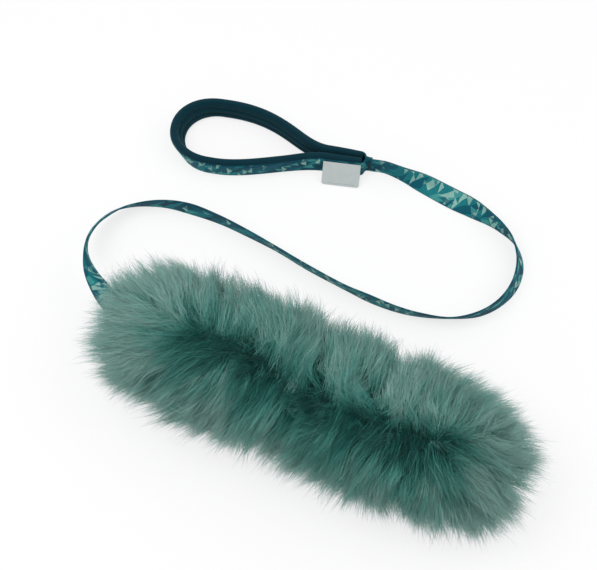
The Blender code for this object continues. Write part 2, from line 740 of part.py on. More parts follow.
def padding_thread(name, level, parts, finish, empty):
    """A row of stitching that lies in a sewn channel of the padding."""
    path = handle_path()
    slope = math.atan2(CHANNEL_HALF_WIDTH, CHANNEL_DEPTH)
    clear = (THREAD_RADIUS + GAP) / math.sin(slope)
    line = []
    for row, normal in zip(path, normals_of([row[0] for row in path])):
        bottom = -padding_face(level, row[1]) + CHANNEL_DEPTH
        line.append(on_limb(row, normal, bottom - clear, level))
    return thread(name, line[1:-1], parts, finish, empty)


def label_frame():
    """The label's frame at its hinge: x along its top edge, y out of its face, z up the label."""
    face = limb_thickness(LABEL_AT) + GAP / 2
    growth = limb_thickness(LABEL_AT + MM) - limb_thickness(LABEL_AT - MM)
    slope = math.atan2(growth, 2 * MM)
    out = face + GAP + LABEL_THICKNESS
    middle = in_handle((LABEL_AT, out), LABEL_TOP)
    return Matrix.Translation(middle) @ Matrix.Rotation(HANDLE_HEADING + slope, 4, "Z")


def side_label(parts, finishes, empty):
    """The bare label with round corners, leaning on the floor, and the stitch row near its lower edge."""
    curve = bpy.data.curves.new("side_label", "CURVE")
    curve.dimensions = "2D"
    curve.fill_mode = "BOTH"
    curve.extrude = LABEL_THICKNESS / 2
    outline = []
    half = LABEL_WIDTH / 2
    corners = ((half, -LABEL_HEIGHT), (half, 0), (-half, 0), (-half, -LABEL_HEIGHT))
    for quarter, (x, y) in enumerate(corners):
        radius = LABEL_CORNER if y else LABEL_THICKNESS
        middle = (x - math.copysign(radius, x), y + radius if y else -radius)
        for step in range(5):
            turn = math.pi / 2 * (quarter - 1 + step / 4)
            outline.append((middle[0] + radius * math.cos(turn), middle[1] + radius * math.sin(turn)))
    spline = curve.splines.new("POLY")
    spline.points.add(len(outline) - 1)
    spline.use_cyclic_u = True
    for point, (x, y) in zip(spline.points, outline):
        point.co = (x, y, 0.0, 1.0)
    upright = Matrix.Rotation(math.radians(90), 4, "X")
    at = label_frame() @ Matrix.Rotation(LABEL_LEAN, 4, "X") @ upright
    label = place("side_label", curve, parts, finishes["label"], empty, at=at)
    lift = LABEL_THICKNESS / 2 + GAP + THREAD_RADIUS
    row = []
    for side in (-1, 1):
        local = Vector((side * (half - LABEL_STITCH_MARGIN), LABEL_STITCH_UP - LABEL_HEIGHT, -lift))
        row.append(at @ local)
    thread("label_stitch", row, parts, finishes["thread"], empty, sides=2)
    return label


def handle(parts, cutters, finishes):
    """The padded loop handle with its label, each under an empty on its joint's axis."""
    pivot = bpy.data.objects.new("handle_pivot", None)
    parts.objects.link(pivot)
    pivot.matrix_world = Matrix.Translation(hinge_point())
    bpy.context.view_layer.update()
    handle_padding(parts, finishes["padding"], pivot)
    web = handle_webbing(parts, cutters, finishes["webbing"], pivot)
    frame = neck_tack_frame()
    stack = WEB_THICKNESS + GAP / 2
    hole = bar_tack("neck_tack_hole", stack + MM, NECK_TACK_HEIGHT, cutters, None, frame, grow=GAP)
    cut(web, as_cutter(made_mesh(hole, cutters)))
    tack = bar_tack("neck_tack", stack, NECK_TACK_HEIGHT, parts, finishes["thread"], frame)
    tack.parent = pivot
    tack.matrix_parent_inverse = pivot.matrix_world.inverted()
    for name, side in (("padding_stitch_upper", 1), ("padding_stitch_lower", -1)):
        level = CHANNEL_MIDDLE + side * CHANNEL_PITCH / 2
        padding_thread(name, level, parts, finishes["thread"], pivot)
    flap = bpy.data.objects.new("label_pivot", None)
    parts.objects.link(flap)
    flap.matrix_world = label_frame()
    flap.parent = pivot
    flap.matrix_parent_inverse = pivot.matrix_world.inverted()
    bpy.context.view_layer.update()
    side_label(parts, finishes, flap)


def main():
    clear_scene()
    parts = collection(TOY)
    cutters = collection("cutters")
    finishes = {name: make_material(name, *values) for name, values in MATERIALS.items()}
    wool = sheepskin_body(parts, cutters, finishes)
    lead(parts, cutters, finishes, wool)
    handle(parts, cutters, finishes)
    label = label_frame()
    print("handle hinge", [round(value, 5) for value in hinge_point()])
    print("label hinge", [round(value, 5) for value in label.translation])
    print("label axis", [round(value, 5) for value in label.col[0][:3]])


main()
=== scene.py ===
"""Looks of the sheepskin tug toy: a fleece body, printed webbing and a padded loop handle.

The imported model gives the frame, in metres with +X along the body and +Z up. Every piece here stands on it.
"""

import logging
import math
from dataclasses import dataclass
from enum import Enum
from typing import Sequence

import bmesh
import bpy
import numpy as np
from mathutils import Matrix, Vector


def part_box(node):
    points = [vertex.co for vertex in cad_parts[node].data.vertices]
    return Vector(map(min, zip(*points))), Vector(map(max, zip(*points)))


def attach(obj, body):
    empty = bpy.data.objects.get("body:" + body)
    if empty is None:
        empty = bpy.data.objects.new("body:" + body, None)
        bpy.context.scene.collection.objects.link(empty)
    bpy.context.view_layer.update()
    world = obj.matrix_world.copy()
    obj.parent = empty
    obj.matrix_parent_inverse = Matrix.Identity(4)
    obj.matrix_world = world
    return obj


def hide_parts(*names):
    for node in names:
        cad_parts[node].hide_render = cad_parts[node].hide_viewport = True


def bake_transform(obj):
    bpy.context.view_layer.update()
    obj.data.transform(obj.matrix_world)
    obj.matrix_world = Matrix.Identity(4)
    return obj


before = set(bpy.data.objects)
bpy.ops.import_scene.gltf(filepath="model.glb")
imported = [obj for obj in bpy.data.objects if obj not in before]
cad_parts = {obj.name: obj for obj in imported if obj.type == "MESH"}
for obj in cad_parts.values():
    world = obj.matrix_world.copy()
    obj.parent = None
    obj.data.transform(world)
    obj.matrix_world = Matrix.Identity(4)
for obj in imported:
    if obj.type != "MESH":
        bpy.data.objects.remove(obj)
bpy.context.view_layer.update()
LOG = logging.getLogger("tug_toy")

MM = 0.001
GAP = 0.3 * MM
WEB_WIDTH = 20.0 * MM
WEB_THICKNESS = 1.6 * MM
WEB_MIDDLE = GAP + WEB_WIDTH / 2
# How far the print on the webbing's back is ahead of the front's, in webbing widths
BACK_PRINT = 31.0
# How many standard deviations a curl or a tip may stray by chance
MOST_STRAY = 1.8
# A direction that hardly any strand runs along, to set its sides out from
OBLIQUE = (0.31, 0.87, 0.39)
HIDE_LENGTH = 300.0 * MM
HIDE_RADIUS = 26.0 * MM
HIDE_BLUFFNESS = 3.4
HIDE_AXIS_HEIGHT = 50.0 * MM
THROAT = Vector((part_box("core_strap")[0].x, 0.0, HIDE_AXIS_HEIGHT))

# Lead from the neck to the throat: its middle in millimetres, x and y from the throat and z from the floor,
# and its lean from upright in degrees, positive where its top is to the left of the way it runs
LEAD_ROUTE = (
    (135.1, 273.7, 10.3, 10),
    (155.3, 273.4, 8.5, 37),
    (172.7, 272.0, 7.1, 49),
    (189.4, 270.2, 6.5, 54),
    (205.7, 267.4, 8.5, 38),
    (227.9, 261.9, 10.4, 8),
    (243.2, 256.7, 10.3, -5),
    (258.3, 248.1, 9.9, -18),
    (271.5, 229.5, 9.5, -24),
    (275.9, 205.3, 9.9, -17),
    (271.1, 181.9, 10.3, -2),
    (258.1, 161.4, 10.1, 12),
    (235.3, 145.7, 9.3, 27),
    (207.0, 136.0, 9.7, 20),
    (185.0, 132.4, 10.0, 14),
    (158.7, 131.9, 10.2, 10),
    (135.0, 133.2, 9.9, 16),
    (91.0, 138.3, 10.0, 15),
    (56.3, 144.2, 9.9, 16),
    (23.4, 148.1, 10.1, 11),
    (-7.5, 150.3, 10.2, 7),
    (-37.7, 149.0, 10.3, 2),
    (-63.4, 143.1, 10.5, 13),
    (-88.8, 130.1, 9.7, 27),
    (-99.9, 115.4, 13.8, 35),
    (-106.1, 92.7, 19.0, 32),
    (-103.5, 72.5, 26.0, 24),
    (-97.1, 58.5, 31.4, 6),
    (-86.7, 44.5, 37.0, -18),
    (-74.9, 31.7, 41.0, -42),
    (-60.7, 20.7, 44.3, -64),
    (-45.0, 10.8, 47.0, -80),
    (-28.7, 3.6, 49.2, -88),
)


class Body(Enum):
    """The bodies that pieces ride on."""

    SHEEPSKIN = "sheepskin"
    HANDLE = "handle"
    LABEL = "label"


class Slot(Enum):
    """The record's material slots."""

    WOOL = "wool"
    WEBBING = "webbing"
    PADDING = "padding"
    THREAD = "thread"
    LABEL = "label"


Colour = tuple[float, float, float]


class Value:
    """A number on a shader socket. Arithmetic on it adds Math nodes."""

    def __init__(self, sheet: "ShaderSheet", socket: bpy.types.NodeSocket) -> None:
        """Wrap a socket.

        Args:
            sheet: The shader sheet that the socket is on.
            socket: The output to read.
        """
        self.sheet = sheet
        self.socket = socket

    def maths(self, operation: str, *others: "Value | float", clamp: bool = False) -> "Value":
        """Add one Math node that starts from this value.

        Args:
            operation: The Math node's operation.
            others: Its other inputs.
            clamp: Whether the result stays from 0 to 1.

        Returns:
            The node's result.
        """
        return self.sheet.maths(operation, self, *others, clamp=clamp)

    def __add__(self, other: "Value | float") -> "Value":
        """Add."""
        return self.maths("ADD", other)

    __radd__ = __add__

    def __mul__(self, other: "Value | float") -> "Value":
        """Multiply."""
        return self.maths("MULTIPLY", other)

    __rmul__ = __mul__

    def __sub__(self, other: "Value | float") -> "Value":
        """Take a value away from this one."""
        return self.maths("SUBTRACT", other)

    def __rsub__(self, other: float) -> "Value":
        """Take this value away from a number."""
        return self.sheet.maths("SUBTRACT", other, self)

    def __truediv__(self, other: "Value | float") -> "Value":
        """Divide this value."""
        return self.maths("DIVIDE", other)

    def clamped(self) -> "Value":
        """This value kept from 0 to 1."""
        return self.maths("ADD", 0.0, clamp=True)

    def sine(self) -> "Value":
        """The sine of this value."""
        return self.maths("SINE")

    def fraction(self) -> "Value":
        """What follows the point."""
        return self.maths("FRACT")

    def above(self, edge: float, soft: float) -> "Value":
        """A soft step up at an edge.

        Args:
            edge: Where the step is.
            soft: How wide it is.

        Returns:
            0 below the edge and 1 above it.
        """
        return ((self - (edge - soft / 2)) / soft).clamped()


class ShaderSheet:
    """One material with a Principled shader, and the nodes that feed it."""

    def __init__(self, name: str, roughness: float = 0.8, specular: float = 0.3) -> None:
        """Start a material.

        Args:
            name: The material's name.
            roughness: The shader's roughness where nothing is linked.
            specular: The shader's specular level.
        """
        self.material = bpy.data.materials.new(name)
        self.material.use_nodes = True
        self.tree = self.material.node_tree
        self.shader = self.tree.nodes["Principled BSDF"]
        self.shader.inputs["Roughness"].default_value = roughness
        self.shader.inputs["Specular IOR Level"].default_value = specular

    def node(self, kind: str, settings: dict | None = None, **inputs: object) -> bpy.types.Node:
        """Add any node.

        Args:
            kind: The node's type.
            settings: Its settings, set before its sockets.
            inputs: Values or links of its sockets, named as the sockets are with _ for a space.

        Returns:
            The new node.
        """
        made = self.tree.nodes.new(kind)
        for key, setting in (settings or {}).items():
            if key == "stops":
                self._stops(made, setting)
            else:
                setattr(made, key, setting)
        for key, given in inputs.items():
            self.join(given, self._socket(made, key))
        return made

    @staticmethod
    def _socket(made: bpy.types.Node, key: str) -> bpy.types.NodeSocket:
        """The enabled input of that name, or of that place where the name is in_ and a number."""
        if key.startswith("in_"):
            return made.inputs[int(key[3:])]
        label = key.replace("_", " ")
        return next(s for s in made.inputs if s.name == label and s.enabled)

    @staticmethod
    def _stops(made: bpy.types.Node, stops: Sequence[tuple[float, Colour]]) -> None:
        """Set a ramp's stops.

        Args:
            made: The ramp's node.
            stops: Places and colours.
        """
        elements = made.color_ramp.elements
        while len(elements) < len(stops):
            elements.new(1.0)
        for element, (place, colour) in zip(elements, stops):
            element.position = place
            element.color = (*colour, 1.0)

    def join(self, given: object, socket: bpy.types.NodeSocket) -> None:
        """Link something to a socket, or set a plain value on it.

        Args:
            given: A value, a socket, a node or a plain value.
            socket: The input that takes it.
        """
        if isinstance(given, Value):
            given = given.socket
        if isinstance(given, bpy.types.Node):
            given = given.outputs[0]
        if isinstance(given, bpy.types.NodeSocket):
            self.tree.links.new(given, socket)
        elif isinstance(given, tuple) and len(given) == 3 and socket.type == "RGBA":
            socket.default_value = (*given, 1.0)
        else:
            socket.default_value = given

    def value(self, socket: bpy.types.NodeSocket) -> Value:
        """Wrap a socket for arithmetic."""
        return Value(self, socket)

    def maths(self, operation: str, *given: "Value | float", clamp: bool = False) -> Value:
        """Add a Math node.

        Args:
            operation: The node's operation.
            given: Its inputs in order.
            clamp: Whether the result stays from 0 to 1.

        Returns:
            The node's result.
        """
        made = self.node("ShaderNodeMath", {"operation": operation, "use_clamp": clamp})
        for socket, one in zip(made.inputs, given):
            self.join(one, socket)
        return self.value(made.outputs[0])

    def mix(self, share: object, low: object, high: object) -> bpy.types.NodeSocket:
        """Mix two colours.

        Args:
            share: 0 for the first colour and 1 for the second.
            low: The first colour.
            high: The second colour.

        Returns:
            The mixed colour's socket.
        """
        made = self.node("ShaderNodeMix", {"data_type": "RGBA"})
        self.join(share, made.inputs[0])
        self.join(low, made.inputs[6])
        self.join(high, made.inputs[7])
        return made.outputs[2]

    def ramp(self, share: object, stops: Sequence[tuple[float, Colour]], stepped: bool = False) -> object:
        """Look a value up in a colour ramp.

        Args:
            share: The value.
            stops: Places and colours.
            stepped: Whether the colours change in steps.

        Returns:
            The colour's socket.
        """
        made = self.node("ShaderNodeValToRGB", {"stops": stops})
        made.color_ramp.interpolation = "CONSTANT" if stepped else "LINEAR"
        self.join(share, made.inputs[0])
        return made.outputs[0]

    def place(self) -> bpy.types.NodeSocket:
        """The point on the piece, in metres."""
        return self.node("ShaderNodeTexCoord").outputs["Object"]

    def flat(self, name: str) -> tuple[Value, Value]:
        """Read a flat map.

        Args:
            name: The map's name.

        Returns:
            Its two coordinates.
        """
        point = self.node("ShaderNodeUVMap", {"uv_map": name})
        split = self.node("ShaderNodeSeparateXYZ", None, Vector=point)
        return self.value(split.outputs[0]), self.value(split.outputs[1])

    @staticmethod
    def weave(along: Value, across: Value, wefts: float, warps: float) -> Value:
        """A plain weave on a flat map.

        Args:
            along: The coordinate that counts the weft.
            across: The coordinate that counts the warp.
            wefts: How many weft threads there are in a unit of the map.
            warps: How many warp threads there are in it.

        Returns:
            The weave, from 0 on a thread to 1 between threads.
        """
        weft = (along * (math.tau * wefts)).sine()
        warp = (across * (math.tau * warps)).sine()
        return (weft * warp * 0.5 + 0.5).clamped()

    def noise(self, scale: float, detail: float = 2.0, at: object = None, rough: float = 0.5) -> Value:
        """A soft noise from 0 to 1.

        Args:
            scale: Lumps in a metre, or in a unit of at.
            detail: How many finer layers it has.
            at: Where it is read, the point on the piece unless given.
            rough: How strong the finer layers are.

        Returns:
            The noise.
        """
        where = self.place() if at is None else at
        made = self.node(
            "ShaderNodeTexNoise", None, Vector=where, Scale=scale, Detail=detail, Roughness=rough
        )
        return self.value(made.outputs["Fac"])

    def colour(self, given: object) -> None:
        """Set the base colour."""
        self.join(given, self.shader.inputs["Base Color"])

    def bump(self, height: object, depth: float) -> None:
        """Give the surface relief.

        Args:
            height: The height, from 0 to 1.
            depth: What 1 stands for, in metres.
        """
        made = self.node("ShaderNodeBump", None, Height=height, Distance=depth, Strength=1.0)
        self.join(made.outputs["Normal"], self.shader.inputs["Normal"])

    def sheen(self, weight: float, roughness: float, tint: Colour) -> None:
        """Give the cloth a soft rim of light, the same all over.

        Args:
            weight: How strong it is.
            roughness: How far in from the rim it reaches.
            tint: Its colour.
        """
        self.shader.inputs["Sheen Weight"].default_value = weight
        self.shader.inputs["Sheen Roughness"].default_value = roughness
        self.shader.inputs["Sheen Tint"].default_value = (*tint, 1.0)


def linear(red: int, green: int, blue: int) -> Colour:
    """A colour written as on a screen, as the shader takes it.

    Args:
        red: 0 to 255.
        green: 0 to 255.
        blue: 0 to 255.

    Returns:
        The linear colour.
    """

    def one(level: int) -> float:
        """One channel."""
        share = level / 255
        return share / 12.92 if share <= 0.04045 else ((share + 0.055) / 1.055) ** 2.4

    return one(red), one(green), one(blue)


@dataclass(frozen=True)
class WoolFinish:
    """Dyed wool: deep at the root and pale at the tip, a little unlike from lock to lock."""

    root: Colour = linear(0, 57, 53)
    low: Colour = linear(6, 92, 86)
    middle: Colour = linear(82, 157, 147)
    tip: Colour = linear(144, 183, 175)
    dust: Colour = linear(150, 176, 164)
    stops: tuple[float, float, float, float] = (0.0, 0.34, 0.68, 1.0)
    by_length: float = 0.8
    by_tone: float = 1.5
    by_patch: float = 0.3
    patches: float = 26.0
    lift: float = 0.1
    dustiest: float = 0.12
    dust_scatter: float = 37.13
    sheen: float = 0.08
    sheen_spread: float = 0.4
    sheen_tint: Colour = (0.6, 0.9, 0.85)

    def material(self) -> bpy.types.Material:
        """Build the wool's material."""
        sheet = ShaderSheet("wool_fibre", roughness=0.7, specular=0.1)
        along, tone = sheet.flat(Fleece.MAP)
        patch = sheet.noise(self.patches)
        # The tone in the map's v carries the locks' painted shade in the parting and their painted light far
        # from it
        shifted = along * self.by_length + (tone - 0.5) * self.by_tone + (patch - 0.5) * self.by_patch
        colours = (self.root, self.low, self.middle, self.tip)
        shade = sheet.ramp((shifted + self.lift).clamped(), tuple(zip(self.stops, colours)))
        dusty = ((tone * self.dust_scatter).fraction() * self.dustiest * along).clamped()
        sheet.colour(sheet.mix(dusty, shade, self.dust))
        sheet.sheen(self.sheen, self.sheen_spread, self.sheen_tint)
        return sheet.material


@dataclass(frozen=True)
class NapFinish:
    """A napped or fibrous surface: fine grain and broad patches mix two colours, and grain gives relief."""

    name: str
    low: Colour
    high: Colour
    roughness: float
    specular: float
    grain: float
    layers: float
    relief: float
    harshness: float = 0.5
    grain_share: float = 1.0
    patches: float = 0.0
    patch_layers: float = 3.0
    patch_share: float = 0.0
    lift: float = 0.0
    sheen: float = 0.0
    sheen_spread: float = 0.5
    sheen_tint: Colour = (1.0, 1.0, 1.0)

    def material(self) -> bpy.types.Material:
        """Build the surface's material."""
        sheet = ShaderSheet(self.name, self.roughness, self.specular)
        grain = sheet.noise(self.grain, self.layers, rough=self.harshness)
        share = grain
        if self.patches:
            patch = sheet.noise(self.patches, self.patch_layers)
            share = (grain * self.grain_share + patch * self.patch_share + self.lift).clamped()
        sheet.colour(sheet.mix(share, self.low, self.high))
        sheet.bump(grain, self.relief)
        if self.sheen:
            sheet.sheen(self.sheen, self.sheen_spread, self.sheen_tint)
        return sheet.material


@dataclass(frozen=True)
class UnderwoolFinish(NapFinish):
    """The dense short wool that shows between the locks."""

    name: str = "underwool"
    low: Colour = linear(4, 42, 38)
    high: Colour = linear(20, 78, 70)
    roughness: float = 0.95
    specular: float = 0.05
    grain: float = 900.0
    layers: float = 6.0
    relief: float = 1.2 * MM
    harshness: float = 0.7


@dataclass(frozen=True)
class PaddingFinish(NapFinish):
    """Dark brushed stretch fabric."""

    name: str = "padding_fabric"
    low: Colour = linear(1, 32, 42)
    high: Colour = linear(5, 54, 66)
    roughness: float = 0.85
    specular: float = 0.12
    grain: float = 2600.0
    layers: float = 3.0
    relief: float = 0.25 * MM
    harshness: float = 0.65
    grain_share: float = 0.65
    patches: float = 70.0
    patch_share: float = 0.45
    lift: float = -0.05
    sheen: float = 0.1
    sheen_tint: Colour = (0.4, 0.8, 0.9)


@dataclass(frozen=True)
class ThreadFinish(NapFinish):
    """Twisted sewing thread."""

    name: str = "sewing_thread"
    low: Colour = linear(4, 34, 44)
    high: Colour = linear(18, 66, 76)
    roughness: float = 0.55
    specular: float = 0.3
    grain: float = 3200.0
    layers: float = 1.0
    relief: float = 0.08 * MM


@dataclass(frozen=True)
class HideFinish(NapFinish):
    """The flesh side of the hide, a napped suede."""

    name: str = "suede_hide"
    low: Colour = linear(176, 160, 132)
    high: Colour = linear(88, 122, 112)
    roughness: float = 0.9
    specular: float = 0.1
    grain: float = 1400.0
    layers: float = 4.0
    relief: float = 0.3 * MM
    harshness: float = 0.7
    grain_share: float = 0.4
    patches: float = 60.0
    patch_share: float = 0.4


@dataclass(frozen=True)
class FillingFinish(NapFinish):
    """Loose white fibre."""

    name: str = "fibre_filling"
    low: Colour = linear(236, 236, 232)
    high: Colour = linear(190, 192, 190)
    roughness: float = 0.95
    specular: float = 0.05
    grain: float = 700.0
    layers: float = 6.0
    relief: float = 1.0 * MM
    harshness: float = 0.8


@dataclass(frozen=True)
class Shards:
    """A layer of printed triangles: pairs of them in a webbing width, and the layer's turn in radians."""

    pairs: float
    turn: float


@dataclass(frozen=True)
class PrintFinish:
    """Smooth woven webbing with a printed pattern of broken blue-green shards."""

    MAP = "print"
    dark: Colour = linear(8, 66, 84)
    deep: Colour = linear(12, 88, 104)
    middle: Colour = linear(30, 124, 130)
    aqua: Colour = linear(72, 156, 152)
    pale: Colour = linear(150, 194, 182)
    # Painted shade: the near black painted into the gaps between the weave's threads
    weave_gap_shade: Colour = (0.002, 0.02, 0.03)
    steps: tuple[float, ...] = (0.0, 0.24, 0.46, 0.74, 0.96)
    light_at: float = 3.9
    light_every: float = 15.5
    zone_share: float = 0.4
    large: Shards = Shards(1.35, 0.5)
    small: Shards = Shards(2.3, -0.75)
    tiny: Shards = Shards(3.2, 1.2)
    drift: float = 1.1
    drift_lumps: tuple[float, float] = (0.9, 0.8)
    slant: float = 0.9
    small_over: float = 0.95
    small_by_zone: float = 0.26
    tiny_over: float = 0.9
    tiny_dark_over: float = 0.88
    tiny_dark: float = 0.8
    crisp: float = 0.01
    wash_patches: float = 1.1
    wash_over: float = 0.55
    wash_soft: float = 0.4
    wash: float = 0.45
    dark_edge_over: float = 0.47
    dark_edge_soft: float = 0.04
    dark_edge: float = 0.7
    wefts: float = 24.0
    warps: float = 17.0
    weave_gap_shade_share: float = 0.14
    relief: float = 0.12 * MM

    def material(self) -> bpy.types.Material:
        """Build the printed webbing's material."""
        sheet = ShaderSheet("printed_webbing", roughness=0.65, specular=0.1)
        along, across = sheet.flat(self.MAP)
        swing = ((along - self.light_at) * (math.tau / self.light_every) + math.pi / 2).sine() * 0.5 + 0.5
        zone = swing * swing * swing
        large = self._shards(sheet, along, across, self.large)
        colours = (self.dark, self.deep, self.middle, self.aqua, self.pale)
        light = (large * (1 - self.zone_share) + zone * self.zone_share).clamped()
        shade = sheet.ramp(light, tuple(zip(self.steps, colours)), stepped=True)
        small = self._shards(sheet, along, across, self.small)
        picked = (small + zone * self.small_by_zone).above(self.small_over, self.crisp)
        shade = sheet.mix(picked, shade, self.pale)
        tiny = self._shards(sheet, along, across, self.tiny)
        shade = sheet.mix(tiny.above(self.tiny_over, self.crisp), shade, self.aqua)
        picked = (1 - tiny).above(self.tiny_dark_over, self.crisp) * self.tiny_dark
        shade = sheet.mix(picked, shade, self.deep)
        wash = sheet.noise(self.wash_patches, at=self._point(sheet, along, across))
        shade = sheet.mix(wash.above(self.wash_over, self.wash_soft) * self.wash, shade, self.deep)
        # The outermost strips of the width are darkened
        edge = (across - 0.5).maths("ABSOLUTE").above(self.dark_edge_over, self.dark_edge_soft)
        shade = sheet.mix(edge * self.dark_edge, shade, self.dark)
        # Painted shade: the gaps between the weave's threads are darkened
        weave = sheet.weave(along, across, self.wefts, self.warps)
        sheet.colour(sheet.mix(weave * self.weave_gap_shade_share, shade, self.weave_gap_shade))
        sheet.bump(1 - weave, self.relief)
        return sheet.material

    @staticmethod
    def _point(sheet: ShaderSheet, along: Value, across: Value, third: object = 0.0) -> bpy.types.Node:
        """A point made of the two flat coordinates and a third number."""
        return sheet.node("ShaderNodeCombineXYZ", None, X=along, Y=across, Z=third)

    def _shards(self, sheet: ShaderSheet, along: Value, across: Value, layer: Shards) -> Value:
        """Uneven triangles, each with a chance value.

        Args:
            sheet: The shader sheet.
            along: Webbing widths along the webbing.
            across: Webbing widths across it.
            layer: The triangles' size and turn.

        Returns:
            The chance value, from 0 to 1.
        """
        turn = layer.turn
        # The third coordinate only sets the layers and their two noises apart
        spots = (self._point(sheet, along, across, turn * 7 + apart) for apart in (0, 5))
        drift, other = (
            sheet.noise(lumps, 1.0, at=spot) * self.drift for lumps, spot in zip(self.drift_lumps, spots)
        )
        x = (along * math.cos(turn) + across * math.sin(turn)) * layer.pairs + drift
        y = (across * math.cos(turn) - along * math.sin(turn)) * layer.pairs + along * self.slant + other
        upper = (x.fraction() + y.fraction()).above(1.0, 0.001)
        cell = self._point(sheet, x.maths("FLOOR"), y.maths("FLOOR"), upper * 3 + turn)
        chance = sheet.node("ShaderNodeTexWhiteNoise", {"noise_dimensions": "3D"}, Vector=cell)
        return sheet.value(chance.outputs["Value"])


@dataclass(frozen=True)
class LabelFinish:
    """A bare woven tape label, pale grey."""

    MAP = "label"
    ground: Colour = linear(198, 204, 203)
    # The colour of the painted shade between threads, and of the worn patches
    shadow: Colour = linear(160, 170, 171)
    wefts: float = 110.0
    warps: float = 70.0
    worn_patches: float = 160.0
    worn_layers: float = 3.0
    worn_share: float = 0.35
    weave_share: float = 0.3
    relief: float = 0.06 * MM

    def material(self) -> bpy.types.Material:
        """Build the label's material."""
        sheet = ShaderSheet("label_tape", roughness=0.75, specular=0.2)
        weave = sheet.weave(*sheet.flat(self.MAP), self.wefts, self.warps)
        worn = sheet.noise(self.worn_patches, self.worn_layers)
        # Painted shade: between the threads the weave darkens towards the shadow colour; the worn patches
        # darken towards it as real wear
        share = (weave * self.weave_share + worn * self.worn_share).clamped()
        sheet.colour(sheet.mix(share, self.ground, self.shadow))
        sheet.bump(1 - weave, self.relief)
        return sheet.material


@dataclass(frozen=True)
class FloorFinish:
    """A white ground that keeps the toy's shadow."""

    white: Colour = (0.86, 0.86, 0.86)
    shown: float = 0.74

    def material(self) -> bpy.types.Material:
        """Build the floor's material."""
        sheet = ShaderSheet("white_ground", roughness=0.9, specular=0.0)
        sheet.colour(self.white)
        path = sheet.node("ShaderNodeLightPath")
        glow = sheet.node("ShaderNodeEmission", None, Color=(1.0, 1.0, 1.0), Strength=1.0)
        seen = sheet.value(path.outputs["Is Camera Ray"])
        for ray in ("Is Glossy Ray", "Is Transmission Ray"):
            seen = (seen + sheet.value(path.outputs[ray])).clamped()
        mixed = sheet.node("ShaderNodeMixShader", None, in_0=seen * self.shown)
        sheet.join(sheet.shader.outputs[0], mixed.inputs[1])
        sheet.join(glow.outputs[0], mixed.inputs[2])
        end = sheet.tree.nodes["Material Output"]
        sheet.join(mixed.outputs[0], end.inputs["Surface"])
        return sheet.material


def unit(rows: np.ndarray) -> np.ndarray:
    """Rows of vectors at length 1."""
    return rows / np.maximum(np.linalg.norm(rows, axis=-1, keepdims=True), 1e-9)


def put(
    name: str, mesh: bpy.types.Mesh, finish: bpy.types.Material, body: Body | None
) -> bpy.types.Object:
    """Put a finished mesh in the scene as a piece.

    Args:
        name: The piece's name.
        mesh: Its mesh, already in place.
        finish: Its material.
        body: The body that it rides on, if it rides on one.

    Returns:
        The piece.
    """
    mesh.materials.append(finish)
    piece = bpy.data.objects.new(name, mesh)
    bpy.context.scene.collection.objects.link(piece)
    if body:
        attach(piece, body.value)
    LOG.info("%s has %d faces", name, len(mesh.polygons))
    return piece


def mesh_of(name: str, shell: bmesh.types.BMesh) -> bpy.types.Mesh:
    """A smooth mesh made from a bmesh.

    Args:
        name: The mesh's name.
        shell: The bmesh, freed here.

    Returns:
        The mesh.
    """
    mesh = bpy.data.meshes.new(name)
    shell.to_mesh(mesh)
    shell.free()
    mesh.shade_smooth()
    return mesh


def wrapped(
    name: str, rings: np.ndarray, sharp: float, map_name: str | None = None, flat: np.ndarray | None = None
) -> bpy.types.Mesh:
    """A closed skin through rings of points, made from a grid that is rolled up and capped.

    Args:
        name: The mesh's name.
        rings: Points as stations by points round by 3.
        sharp: The bend in degrees from which an edge shows as a sharp one.
        map_name: The flat map's name, if it has one.
        flat: The flat map as stations by points round plus one by 2.

    Returns:
        The mesh, faces outwards.
    """
    count, around = rings.shape[:2]
    shell = bmesh.new()
    bmesh.ops.create_grid(shell, x_segments=around, y_segments=count - 1, size=1.0)
    places = {}
    for vert in shell.verts:
        column = round((vert.co.x + 1) / 2 * around)
        row = round((vert.co.y + 1) / 2 * (count - 1))
        places[vert.index] = (row, column)
    if map_name:
        layer = shell.loops.layers.uv.new(map_name)
        for face in shell.faces:
            for loop in face.loops:
                loop[layer].uv = flat[places[loop.vert.index]]
    for vert in shell.verts:
        row, column = places[vert.index]
        vert.co = rings[row, column % around]
    bmesh.ops.remove_doubles(shell, verts=shell.verts, dist=0.001 * MM)
    rims = [edge for edge in shell.edges if edge.is_boundary]
    bmesh.ops.holes_fill(shell, edges=rims, sides=0)
    caps = [face for face in shell.faces if len(face.verts) > 4]
    bmesh.ops.triangulate(shell, faces=caps)
    bmesh.ops.recalc_face_normals(shell, faces=shell.faces)
    mesh = mesh_of(name, shell)
    mesh.set_sharp_from_angle(angle=math.radians(sharp))
    return mesh


